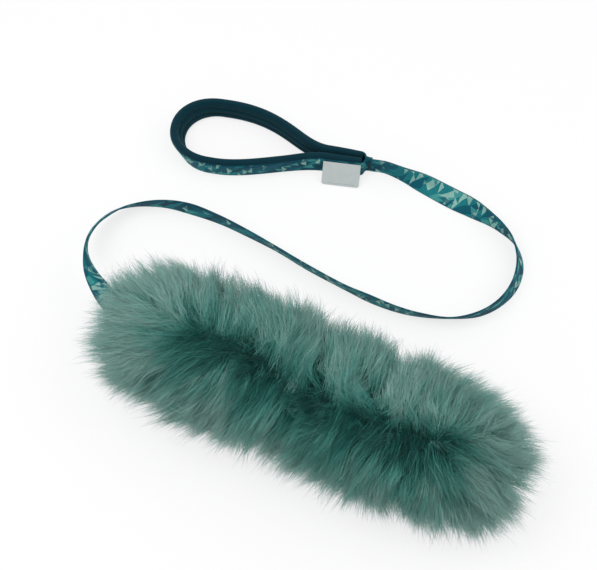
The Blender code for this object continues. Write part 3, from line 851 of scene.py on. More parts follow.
def smooth_route(points: Sequence[Sequence[float]], spacing: float, fine_steps: int = 24) -> np.ndarray:
    """Points at even spacing along a centripetal curve through the route's own points.

    Args:
        points: Rows of x, y, z and lean.
        spacing: The distance between the points that come out.
        fine_steps: How finely the curve is worked out from one point to the next.

    Returns:
        Rows of x, y, z and lean.
    """
    knots = np.array(points, float)
    knots = np.vstack([2 * knots[0] - knots[1], knots, 2 * knots[-1] - knots[-2]])
    t = np.linspace(0, 1, fine_steps, endpoint=False)[:, None]
    fine = []
    for before, start, end, after in zip(knots, knots[1:], knots[2:], knots[3:]):
        pairs = ((before, start), (start, end), (end, after))
        gaps = [math.sqrt(np.linalg.norm((b - a)[:3])) for a, b in pairs]
        first = (start - before) / gaps[0] - (end - before) / (gaps[0] + gaps[1]) + (end - start) / gaps[1]
        last = (end - start) / gaps[1] - (after - start) / (gaps[1] + gaps[2]) + (after - end) / gaps[2]
        fine.append(
            start * (2 * t**3 - 3 * t**2 + 1)
            + first * gaps[1] * (t**3 - 2 * t**2 + t)
            + end * (3 * t**2 - 2 * t**3)
            + last * gaps[1] * (t**3 - t**2)
        )
    return evenly(np.vstack([*fine, knots[-2][None]]), spacing)


def evenly(line: np.ndarray, spacing: float, axes: int = 3) -> np.ndarray:
    """A line's rows again at even spacing.

    Args:
        line: Rows that start with the place.
        spacing: The distance between the rows that come out.
        axes: How many numbers of a row are its place.

    Returns:
        The new rows.
    """
    run = run_of(line[:, :axes])
    wanted = np.linspace(0, run[-1], max(round(run[-1] / spacing), 2) + 1)
    return np.column_stack([np.interp(wanted, run, column) for column in line.T])


def run_of(line: np.ndarray) -> np.ndarray:
    """How far along a line each of its rows is."""
    steps = np.linalg.norm(np.diff(line[:, :3], axis=0), axis=1)
    return np.concatenate([[0.0], np.cumsum(steps)])


def strip_axes(line: np.ndarray) -> tuple[np.ndarray, np.ndarray]:
    """The directions of a leaning strip.

    Args:
        line: Rows of x, y, z and lean.

    Returns:
        The way up its width, and the way out of its left face, at each row.
    """
    travel = unit(np.gradient(line[:, :3], axis=0))
    left = unit(np.cross([0.0, 0.0, 1.0], travel))
    rise = np.cross(travel, left)
    lean = line[:, 3:4]
    up = rise * np.cos(lean) + left * np.sin(lean)
    return up, np.cross(up, travel)


def webbing_mesh(name: str, line: np.ndarray, start: float) -> bpy.types.Mesh:
    """Webbing along a line: a flat strip with rounded edges and the print's flat map.

    Args:
        name: The mesh's name.
        line: Rows of x, y, z and lean.
        start: Where the print starts, in webbing widths.

    Returns:
        The mesh.
    """
    up, out = strip_axes(line)
    edge = WEB_THICKNESS / 2
    reach = WEB_WIDTH / 2 - edge
    face = [(a, edge) for a in np.linspace(-reach, reach, 6)]
    rim = [(reach + edge * math.cos(a), edge * math.sin(a)) for a in np.radians(np.linspace(60, -60, 5))]
    shape = np.vstack([np.array(face + rim), -np.array(face + rim)])
    rings = line[:, None, :3] + up[:, None] * shape[None, :, :1] + out[:, None] * shape[None, :, 1:]
    count = len(shape)
    flat = np.zeros((len(line), count + 1, 2))
    flat[:, :, 0] = (run_of(line) / WEB_WIDTH + start)[:, None]
    flat[:, :count, 1] = shape[None, :, 0] / WEB_WIDTH + 0.5
    flat[:, count, 1] = flat[:, 0, 1]
    back = np.arange(count + 1) >= count // 2
    flat[:, back, 0] += BACK_PRINT
    flat[:, back, 1] = 1 - flat[:, back, 1]
    return wrapped(name, rings, sharp=70.0, map_name=PrintFinish.MAP, flat=flat)


@dataclass
class Lead:
    """The limp webbing from the handle's neck to the throat of the sleeve."""

    spacing: float = 2.4 * MM
    print_start: float = 0.0
    overlap: float = 3.85 * MM
    bend: float = 16.0 * MM
    past_bend: float = 2.0 * MM
    bend_spacing: float = 0.8 * MM
    entry: float = 12.0 * MM
    entry_lean: float = math.radians(-90.0)

    def line(self) -> np.ndarray:
        """The lead's rows of x, y, z and lean, from the neck to the throat."""
        ahead = -LoopPath.direction()
        sewn = WEB_THICKNESS / 2 + GAP
        start = LoopPath.hinge() + ahead * sewn
        straight = start + ahead * WEB_WIDTH / 2
        route = [(*start.xy, WEB_MIDDLE, 0.0), (*straight.xy, WEB_MIDDLE, 0.0)]
        for x, y, z, lean in LEAD_ROUTE:
            route.append((THROAT.x + x * MM, THROAT.y + y * MM, z * MM, math.radians(lean)))
        route.append((THROAT.x - GAP - self.entry, THROAT.y, THROAT.z, self.entry_lean))
        line = smooth_route(route, self.spacing)
        tip = np.array([[THROAT.x - GAP, THROAT.y, THROAT.z, self.entry_lean]])
        neck = start - ahead * (sewn + self.overlap)
        first = np.array([[neck.x, neck.y, WEB_MIDDLE, 0.0]])
        return evenly(np.vstack([first, line, tip]), self.spacing)

    def build(self, finish: bpy.types.Material) -> None:
        """Make the lead, cut just past the short stretch by the handle's neck.

        Args:
            finish: The printed webbing's material.
        """
        line = self.line()
        run = run_of(line)
        cut = int(np.searchsorted(run, self.overlap + self.bend + self.past_bend))
        neck = self._neck(line[: cut + 1], finish)
        free = line[cut:]
        mesh = webbing_mesh("lead_webbing", free, self.print_start + run[cut] / WEB_WIDTH)
        piece = put("lead_webbing", mesh, finish, Body.SHEEPSKIN)
        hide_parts("lead_strap")

    def _neck(self, line: np.ndarray, finish: bpy.types.Material) -> bpy.types.Object:
        """The short stretch sewn to the handle, between the handle and the rest of the lead."""
        mesh = webbing_mesh("lead_neck", evenly(line, self.bend_spacing), self.print_start)
        piece = put("lead_neck", mesh, finish, None)
        hinge = LoopPath.hinge()
        away = hinge - LoopPath.direction() * self.bend
        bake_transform(piece)
        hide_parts("lead_strap")
        return piece


@dataclass
class LoopPath:
    """The plan of the handle: two padded limbs that leave the neck and meet in a round loop."""

    NECK = Vector((THROAT.x + 96.4 * MM, 269.7 * MM, 0.0))
    HEADING = math.radians(194.4)
    STUB = 6.0 * MM
    length: float = 187.0 * MM
    radius: float = 33.6 * MM
    offset: float = -5.2 * MM
    taper: float = 33.0 * MM
    near_ease: float = 37.0 * MM
    far_ease: float = 62.5 * MM
    neck_ease: float = 35.0 * MM
    loop_thickness: float = 9.0 * MM
    neck_thickness: float = 7.4 * MM
    start: float = 6.0 * MM
    near_lean: float = math.radians(9.0)
    far_lean: float = math.radians(4.0)
    round_lean: float = math.radians(18.0)
    lean_start: float = 40.0 * MM
    lean_rise: float = 45.0 * MM
    flare_back: float = 3.0 * MM
    flare_out: float = 1.5 * MM

    @classmethod
    def direction(cls) -> Vector:
        """The handle's heading from its neck."""
        return Vector((math.cos(cls.HEADING), math.sin(cls.HEADING), 0.0))

    @classmethod
    def frame(cls) -> Matrix:
        """The handle's plan frame: x from the neck to the loop, y to the near side."""
        return Matrix.Translation(cls.NECK) @ Matrix.Rotation(cls.HEADING, 4, "Z")

    @classmethod
    def hinge(cls) -> Vector:
        """Where the handle swings on the lead."""
        return cls.frame() @ Vector((-cls.STUB, 0.0, 0.0))

    @classmethod
    def world(cls, plan: np.ndarray, height: float | np.ndarray) -> np.ndarray:
        """Plan points at a height, in the row frame.

        Args:
            plan: Rows of plan x and y.
            height: The height, or one for each row.

        Returns:
            Rows of x, y and z.
        """
        turn = np.array(cls.frame())
        rows = np.column_stack([plan, np.broadcast_to(height, len(plan)), np.ones(len(plan))])
        return rows @ turn.T[:, :3]

    def thickness(self, along: np.ndarray | float) -> np.ndarray:
        """The padded webbing's thickness at plan x."""
        share = np.clip((np.asarray(along) - self.start) / self.taper, 0, 1)
        return self.neck_thickness + (self.loop_thickness - self.neck_thickness) * share * (2 - share)

    def middle(self, spacing: float) -> np.ndarray:
        """The limbs' middle line, near side first.

        Args:
            spacing: The distance between its rows.

        Returns:
            Rows of plan x, plan y and lean.
        """
        centre = np.array([self.length - self.radius, self.offset])
        near = self._limb(1.0, centre, self.near_ease, self.near_lean)
        far = self._limb(-1.0, centre, self.far_ease, self.far_lean)
        share = np.linspace(0, 1, 60)[1:-1]
        turn = np.pi * (0.5 - share)
        lean = self.near_lean + (self.far_lean - self.near_lean) * eased(share)
        lean += self.round_lean * np.sin(np.pi * share) ** 2
        arc = centre + self.radius * np.column_stack([np.cos(turn), np.sin(turn)])
        line = np.vstack([near, np.column_stack([arc, lean]), far[::-1]])
        return evenly(line, spacing, axes=2)

    def _limb(self, side: float, centre: np.ndarray, ease: float, lean: float) -> np.ndarray:
        """One limb, from the neck to the round of the loop.

        Args:
            side: 1 for the near limb and -1 for the far one.
            centre: The middle of the round, in plan.
            ease: How gently the limb comes into the round.
            lean: Its lean there.

        Returns:
            Rows of plan x, plan y and lean.
        """
        along = np.linspace(self.start, self.start + self.taper, 16)
        straight = np.column_stack([along, side * (self.thickness(along) + GAP) / 2])
        tangent = centre + np.array([-self.flare_back, side * self.radius])
        a = straight[-1]
        b = np.array([self.start + self.taper + self.neck_ease, a[1]])
        c = tangent + np.array([-ease, side * self.flare_out])
        points = np.vstack([straight, bezier(a, b, c, tangent, shares(60))])
        return np.column_stack([points, lean * eased((points[:, 0] - self.lean_start) / self.lean_rise)])

    def placed(self, line: np.ndarray, out: np.ndarray | float, up: np.ndarray | float) -> np.ndarray:
        """Points of the leaning limbs' sections, in the row frame.

        Args:
            line: Rows of plan x, plan y and lean.
            out: How far out of the middle line each point is, one or one for each row.
            up: How high each is before the section leans.

        Returns:
            Rows of x, y and z.
        """
        lean = line[:, 2]
        lift = GAP * (1 - np.cos(lean)) + self.thickness(line[:, 0]) / 2 * np.sin(lean)
        outwards = out * np.cos(lean) + up * np.sin(lean)
        height = up * np.cos(lean) - out * np.sin(lean) + lift
        return self.world(line[:, :2] + self.normals(line[:, :2]) * outwards[:, None], height)

    @staticmethod
    def normals(line: np.ndarray) -> np.ndarray:
        """The way out of the loop at each plan point."""
        travel = np.gradient(line, axis=0)
        travel /= np.linalg.norm(travel, axis=1, keepdims=True)
        return np.column_stack([-travel[:, 1], travel[:, 0]])


def eased(share: np.ndarray) -> np.ndarray:
    """A slow start and a slow stop from 0 to 1."""
    share = np.clip(share, 0, 1)
    return share * share * (3 - 2 * share)


def shares(steps: int) -> np.ndarray:
    """Even shares of a stretch as a column, up to 1 and without 0."""
    return (np.arange(1, steps + 1) / steps)[:, None]


def bezier(a: np.ndarray, b: np.ndarray, c: np.ndarray, d: np.ndarray, t: np.ndarray) -> np.ndarray:
    """Points on a cubic Bezier stretch.

    Args:
        a: Its start.
        b: The first handle.
        c: The second handle.
        d: Its end.
        t: The shares of the stretch at which points come out.

    Returns:
        The points.
    """
    return a * (1 - t) ** 3 + b * 3 * t * (1 - t) ** 2 + c * 3 * t * t * (1 - t) + d * t**3


def bell(away: np.ndarray, width: float | np.ndarray) -> np.ndarray:
    """1 at nothing away, about a third at a width away, and next to nothing further on."""
    return np.exp(-((away / width) ** 2))


def bluff(share: np.ndarray, power: float) -> np.ndarray:
    """A blunt round form: 1 at share 0 and down to 0 at share 1."""
    return np.clip(1 - share**power, 0, None) ** (1 / power)


@dataclass
class Padding:
    """The padded lining of the loop, sewn in two channels along its inner face."""

    path: LoopPath
    height: float = 23.5 * MM
    bluffness: float = 2.7
    back_levels: tuple[float, ...] = (16.0 * MM, 11.0 * MM, 6.0 * MM, 2.5 * MM, 1.0 * MM, 0.3 * MM)
    channel_depth: float = 1.5 * MM
    channel_pitch: float = 7.4 * MM
    channel_middle: float = 11.0 * MM
    channel_half_width: float = 2.6 * MM
    pucker: float = 0.22
    lump_size: float = 34.0 * MM
    lump_height: float = 0.25 * MM
    stitch_pitch: float = 3.2 * MM
    stitch_length: float = 2.6 * MM
    stitch_radius: float = 0.32 * MM
    stitch_margin: float = 6.0 * MM
    spacing: float = 1.6 * MM
    seed: int = 5

    def levels(self) -> tuple[float, float]:
        """The heights of the two channels."""
        return self.channel_middle - self.channel_pitch / 2, self.channel_middle + self.channel_pitch / 2

    def face(self, z: np.ndarray | float, thickness: np.ndarray | float) -> np.ndarray:
        """How far the padding bulges from its middle line at a height."""
        return thickness / 2 * bluff(np.abs(2 * z / self.height - 1), self.bluffness)

    def dip(self, z: np.ndarray) -> np.ndarray:
        """How deep the sewn channels draw the inner face in at a height, from 0 to 1."""
        low, high = self.levels()
        near = np.minimum(np.abs(z - low), np.abs(z - high))
        return eased(1 - near / self.channel_half_width)

    def section(self, thickness: float, run: float) -> np.ndarray:
        """The padding's outline at a place along the loop.

        Args:
            thickness: The padded webbing's thickness there.
            run: How far along the loop it is.

        Returns:
            Rows of out and up.
        """
        recess = thickness / 2 - WEB_THICKNESS - GAP
        shelf = WEB_WIDTH + 2 * GAP
        z_in = self.height / 2 * (1 - np.cos(np.linspace(0, math.pi, 46)))
        pucker = 1 + self.pucker * math.cos(math.tau * run / self.stitch_pitch)
        inner = self.channel_depth * pucker * self.dip(z_in) - self.face(z_in, thickness)
        z_top = np.linspace(self.height, shelf, 12)[1:]
        top = self.face(z_top, thickness)
        z_back = np.array([shelf - 0.05 * MM, *self.back_levels])
        back = np.minimum(recess, self.face(z_back, thickness))
        return np.column_stack([np.concatenate([inner, top, back]), np.concatenate([z_in, z_top, z_back])])

    def build(self, finish: bpy.types.Material, thread: bpy.types.Material) -> None:
        """Make the padding and its two rows of stitches.

        Args:
            finish: The padding fabric's material.
            thread: The thread's material.
        """
        line = self.path.middle(self.spacing)
        thick = self.path.thickness(line[:, 0])
        run = run_of(line[:, :2])
        rng = np.random.default_rng(self.seed)
        lump = waves(np.column_stack([run, run * 0, run * 0]), self.lump_size, rng) * self.lump_height
        sections = []
        for thickness, there, soft in zip(thick, run, lump):
            section = self.section(float(thickness), float(there))
            swell = np.where(section[:, 0] < 0, soft * np.sin(np.pi * section[:, 1] / self.height), 0.0)
            sections.append(np.column_stack([section[:, 0] - swell, section[:, 1]]))
        corners = np.stack(sections, axis=1)
        columns = [self.path.placed(line, corner[:, 0], corner[:, 1]) for corner in corners]
        mesh = wrapped("padding_sleeve", np.stack(columns, axis=1), sharp=60.0)
        piece = put("padding_sleeve", mesh, finish, Body.HANDLE)
        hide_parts("handle_padding")
        for name, level in zip(("padding_stitch_lower", "padding_stitch_upper"), self.levels()):
            outs = self.channel_depth - self.stitch_radius - self.face(level, thick)
            self._stitches(name, self.path.placed(line, outs, level), thread)

    def _stitches(self, node: str, row: np.ndarray, finish: bpy.types.Material) -> None:
        """Sew one row of stitches in the bottom of a channel.

        Args:
            node: The node that the row stands for.
            row: Points along the channel.
            finish: The thread's material.
        """
        run = run_of(row)
        half = self.stitch_length / 2
        shell = bmesh.new()
        for middle in np.arange(self.stitch_margin, run[-1] - self.stitch_margin, self.stitch_pitch):
            places = (middle - half, middle + half)
            start, end = (np.array([np.interp(place, run, column) for column in row.T]) for place in places)
            add_stitch(shell, start, end, self.stitch_radius)
        stitched(f"{node}_row", shell, finish, Body.HANDLE, node)


def add_stitch(
    shell: bmesh.types.BMesh, start: Sequence[float], end: Sequence[float], radius: float
) -> None:
    """Add one stitch, a plump grain of thread between two points.

    Args:
        shell: The mesh that it is added to.
        start: One end.
        end: The other end.
        radius: The thread's radius.
    """
    a, b = Vector(start), Vector(end)
    turn = (b - a).to_track_quat("X", "Z").to_matrix().to_4x4()
    size = Matrix.Diagonal(((b - a).length / 2, radius, radius, 1.0))
    matrix = Matrix.Translation((a + b) / 2) @ turn @ size
    bmesh.ops.create_uvsphere(shell, u_segments=6, v_segments=5, radius=1.0, matrix=matrix)


def stitched(
    name: str, shell: bmesh.types.BMesh, finish: bpy.types.Material, body: Body, node: str | None
) -> None:
    """Finish a mesh of stitches as a piece.

    Args:
        name: The piece's name.
        shell: The stitches, freed here.
        finish: The thread's material.
        body: The body that it rides on.
        node: The node that it stands for, if any.
    """
    bmesh.ops.recalc_face_normals(shell, faces=shell.faces)
    piece = put(name, mesh_of(name, shell), finish, body)
    if node:
        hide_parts(node)


@dataclass
class LoopWebbing:
    """The webbing sewn round the outside of the loop, and the tack where its ends meet."""

    path: LoopPath
    print_start: float = 55.7
    spacing: float = 1.5 * MM
    near_end: float = -1.85 * MM
    near_turned: float = 0.4 * MM
    far_end: float = -4.2 * MM
    turn_start: float = 3.2 * MM
    turn_drop: float = 0.3 * MM
    turn_stop: float = 3.4 * MM
    tack_at: float = -2.0 * MM
    tack_out: float = 0.7 * MM
    tack_height: float = 12.0 * MM
    tack_bar: float = 2.4 * MM
    tack_stitches: int = 25
    tack_thread: float = 0.33 * MM
    tack_fullness: float = 1.15
    tack_raggedness: float = 0.12
    tack_skew: float = 0.25 * MM
    seed: int = 3

    def turn(self, side: float, end: Sequence[float]) -> np.ndarray:
        """The webbing's turn from a padded limb's outer face to the neck, in plan.

        Args:
            side: 1 on the near side and -1 on the far side.
            end: Where it ends.

        Returns:
            Plan points.
        """
        neck = self.path.neck_thickness
        face = (neck + GAP) / 2 + neck / 2 - WEB_THICKNESS / 2
        start = np.array([self.path.start, side * face])
        stop = np.array(end, float)
        out = start + np.array([-self.turn_start, side * -self.turn_drop])
        return bezier(start, out, stop + np.array([self.turn_stop, 0.0]), stop, shares(20))

    def build(self, finish: bpy.types.Material, thread: bpy.types.Material) -> None:
        """Make the loop's webbing and the stitches of its tack.

        Args:
            finish: The printed webbing's material.
            thread: The thread's material.
        """
        middle = self.path.middle(self.spacing)
        outs = (self.path.thickness(middle[:, 0]) - WEB_THICKNESS) / 2
        outer = np.column_stack([self.path.placed(middle, outs, WEB_MIDDLE), middle[:, 2]])
        behind = -(WEB_THICKNESS + GAP)
        near = np.vstack([[self.near_end, 0.0], self.turn(1.0, (self.near_turned, 0.0))[::-1]])
        far = np.vstack([self.turn(-1.0, (0.0, behind)), [self.far_end, behind]])
        start, end = (self.path.world(plan, WEB_MIDDLE) for plan in (near, far))
        upright = np.zeros((len(near), 1))
        rows = np.vstack([np.hstack([start, upright]), outer, np.hstack([end, upright])])
        mesh = webbing_mesh("loop_webbing", evenly(rows, self.spacing), self.print_start)
        piece = put("loop_webbing", mesh, finish, Body.HANDLE)
        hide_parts("handle_webbing")
        self._tack(thread)

    def _tack(self, thread: bpy.types.Material) -> None:
        """Sew the satin stitches over the bars of the neck's tack.

        Args:
            thread: The thread's material.
        """
        rng = np.random.default_rng(self.seed)
        shell = bmesh.new()
        middle = -(WEB_THICKNESS + GAP) / 2
        for face in (1, -1):
            out = middle + face * (WEB_THICKNESS + GAP / 2 + GAP + self.tack_out)
            for index in range(self.tack_stitches):
                height = WEB_MIDDLE + self.tack_height * (index / (self.tack_stitches - 1) - 0.5)
                ragged = self.tack_raggedness * rng.standard_normal()
                half = self.tack_bar / 2 * (self.tack_fullness + ragged)
                skew = self.tack_skew if index % 2 else -self.tack_skew
                plan = np.array([[self.tack_at - half, out], [self.tack_at + half, out]])
                start, end = self.path.world(plan, np.array([height - skew, height + skew]))
                add_stitch(shell, start, end, self.tack_thread)
        stitched("neck_tack_stitches", shell, thread, Body.HANDLE, None)


@dataclass
class SideLabel:
    """A bare folded label that hangs from the seam above the webbing, its lower edge out on the floor."""

    path: LoopPath
    width: float = 37.0 * MM
    thickness: float = 0.9 * MM
    corner: float = 2.5 * MM
    bow: float = 0.35 * MM
    at: float = 24.0 * MM
    top: float = 19.9 * MM
    lean: float = math.radians(35.0)
    map_size: float = 40.0 * MM
    stitch_up: float = 2.2 * MM
    stitch_margin: float = 5.0 * MM
    stitch_pitch: float = 2.7 * MM
    stitch_length: float = 2.0 * MM
    stitch_radius: float = 0.2 * MM

    def height(self) -> float:
        """The label's height, so that its lower edge comes to the floor."""
        return (self.top - GAP - self.thickness / 2 * math.sin(self.lean)) / math.cos(self.lean)

    def frame(self) -> Matrix:
        """The label's frame: x along its top edge, y up it, z through it."""
        ahead, behind = self.path.thickness(self.at + MM), self.path.thickness(self.at - MM)
        slope = math.atan2(float(ahead - behind), 2 * MM)
        out = float(self.path.thickness(self.at)) + GAP / 2 + GAP + self.thickness
        place = Matrix.Translation(Vector(self.path.world(np.array([[self.at, out]]), self.top)[0]))
        turn = Matrix.Rotation(self.path.HEADING + slope, 4, "Z")
        upright = Matrix.Rotation(math.radians(90), 4, "X")
        return place @ turn @ Matrix.Rotation(self.lean, 4, "X") @ upright

    def build(self, finish: bpy.types.Material, thread: bpy.types.Material) -> None:
        """Make the label and its short row of stitches.

        Args:
            finish: The label tape's material.
            thread: The thread's material.
        """
        tall, half, edge = self.height(), self.width / 2, self.thickness / 2
        frame = self.frame()
        rounded = np.linspace(0, self.corner, 7)
        rings, flat = [], []
        for low in np.unique(np.concatenate([rounded, np.linspace(self.corner, tall, 18)])):
            short = self.corner - min(low, self.corner)
            reach = half - self.corner + math.sqrt(max(self.corner**2 - short**2, 0.0))
            face = np.linspace(-1, 1, 24) * (reach - edge * 0.4)
            x = np.concatenate([face, [reach], face[::-1], [-reach]])
            z = np.repeat([edge, 0.0, -edge, 0.0], [len(face), 1, len(face), 1])
            bowed = self.bow * np.sin(np.pi * (x / self.width + 0.5)) * math.sin(math.pi * low / tall)
            rows = np.column_stack([x, np.full(len(x), low - tall), z - bowed, np.ones(len(x))])
            rings.append((rows @ np.array(frame).T)[:, :3])
            flat.append(np.column_stack([[*x, x[0]], np.full(len(x) + 1, low)]) / self.map_size)
        corners = np.array(rings)
        mesh = wrapped("label_tape", corners, sharp=50.0, map_name=LabelFinish.MAP, flat=np.array(flat))
        piece = put("label_tape", mesh, finish, Body.LABEL)
        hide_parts("side_label")
        shell = bmesh.new()
        level = self.stitch_up - tall
        for start in np.arange(self.stitch_margin - half, half - self.stitch_margin, self.stitch_pitch):
            ends = [frame @ Vector((x, level, -edge)) for x in (start, start + self.stitch_length)]
            add_stitch(shell, *ends, self.stitch_radius)
        stitched("label_stitch_row", shell, thread, Body.LABEL, "label_stitch")


def waves(points: np.ndarray, size: float, rng: np.random.Generator, count: int = 9) -> np.ndarray:
    """A smooth field over points, about from -1 to 1, made of a few plane waves.

    Args:
        points: Rows of x, y and z.
        size: The usual size of its lumps.
        rng: Where its directions and phases come from.
        count: How many waves it has.

    Returns:
        A value for each point.
    """
    way = rng.standard_normal((3, count))
    way /= np.linalg.norm(way, axis=0)
    pace = math.tau / (size * rng.uniform(0.75, 1.6, count))
    phase = rng.uniform(0, math.tau, count)
    return np.sin(points @ (way * pace) + phase).mean(axis=1) * 2.1


def half_turned(angle: np.ndarray) -> np.ndarray:
    """Angles brought to between minus and plus half a turn."""
    return (angle + math.pi) % math.tau - math.pi


def blunted(place: np.ndarray, power: float) -> np.ndarray:
    """Places from -1 to 1 along a blunt round form, from the places along a ball."""
    return np.sign(place) * np.abs(place) ** power


@dataclass
class Locks:
    """Where the locks of the fleece stand, one value or row for each lock."""

    tip_x: np.ndarray
    tip_turn: np.ndarray
    root_x: np.ndarray
    root_turn: np.ndarray
    fall: np.ndarray
    comb: np.ndarray
    reach: np.ndarray
    tone: np.ndarray
    bow: np.ndarray
    curl: np.ndarray


@dataclass(frozen=True)
class LockLie:
    """How the locks lie: waves drift smoothly over the body, and tufts and locks stray by chance."""

    gather: float = 0.28
    calm: float = 0.45
    wild_near: float = math.radians(75.0)
    sweep: float = -12.0 * MM
    sweep_until: float = 60.0 * MM
    sweep_fade: float = 90.0 * MM
    comb_wave: float = 13.0 * MM
    comb_wave_size: float = 75.0 * MM
    comb_by_tuft: float = 11.0 * MM
    comb_by_lock: float = 6.0 * MM
    swirl_wave: float = math.radians(9.0)
    swirl_wave_size: float = 60.0 * MM
    swirl_by_tuft: float = math.radians(13.0)
    swirl_by_lock: float = math.radians(6.0)
    reach: float = 1.02
    end_reach: float = 0.04
    reach_wave: float = 0.045
    reach_wave_size: float = 42.0 * MM
    reach_spread: float = 0.035
    stray_share: float = 0.1
    stray_near: float = math.radians(40.0)
    stray_fall: float = -0.8
    short_share: float = 0.16
    short_reach: tuple[float, float] = (0.68, 0.88)
    bow: float = 6.5 * MM
    curl: float = 3.4 * MM
    curly_near: float = math.radians(65.0)
    least_curl: float = 0.2
    most_fall: float = 0.86
    end_fall: float = 0.25


@dataclass(frozen=True)
class LockTone:
    """How light the locks are, from 0 to 1, with painted shade in the parting and painted light far from it.
    """

    usual: float = 0.6
    # Painted shade: how much darker the locks are made in the parting, how far that reaches to either side,
    # and how much is left at the ends
    parting: float = 0.45
    parting_far: float = math.radians(21.0)
    parting_near: float = math.radians(46.0)
    parting_at_ends: float = 0.2
    # Painted light: how much lighter the locks are made far from the parting, towards the fleece's rims and
    # ends
    painted_rim_light: float = 0.12
    painted_rim_light_from: float = math.radians(55.0)
    painted_rim_light_over: float = math.radians(50.0)
    by_tuft: float = 0.045
    by_lock: float = 0.05
    by_strand: float = 0.05
    stray: float = 0.22
    bleached: float = 0.16
    bleached_share: float = 0.06


@dataclass(frozen=True)
class StrandLie:
    """How the strands of a lock leave the hide and come to its tip."""

    loose_share: float = 0.38
    loose_spread: float = 1.8
    loose_length: float = 1.06
    tip_spread: float = 2.2 * MM
    root_spread: float = 3.0 * MM
    reach_spread: float = 0.02
    reaches: tuple[float, float] = (0.5, 1.1)
    end_draw: float = 0.65
    end_most: float = 1.04
    rise: float = 0.42
    drop: float = 0.38
    outward: float = 0.7
    outward_along: float = 0.35
    fall: float = 1.05
    comb_reach: float = 40.0 * MM
    sag: float = -0.2
    bow_back: float = 0.8
    sway: float = 1.1 * MM
    crimp: float = 0.45 * MM
    lowest: float = 0.5 * MM
    lowest_spread: float = 2.5 * MM


@dataclass(frozen=True)
class StrandLayer:
    """The strands of one kind that every lock has, and the pieces that hold them."""

    name: str
    strands: int
    segments: int
    lengths: tuple[float, float]
    pieces: int
    radius: float
    taper: float = 0.55
    taper_power: float = 1.5


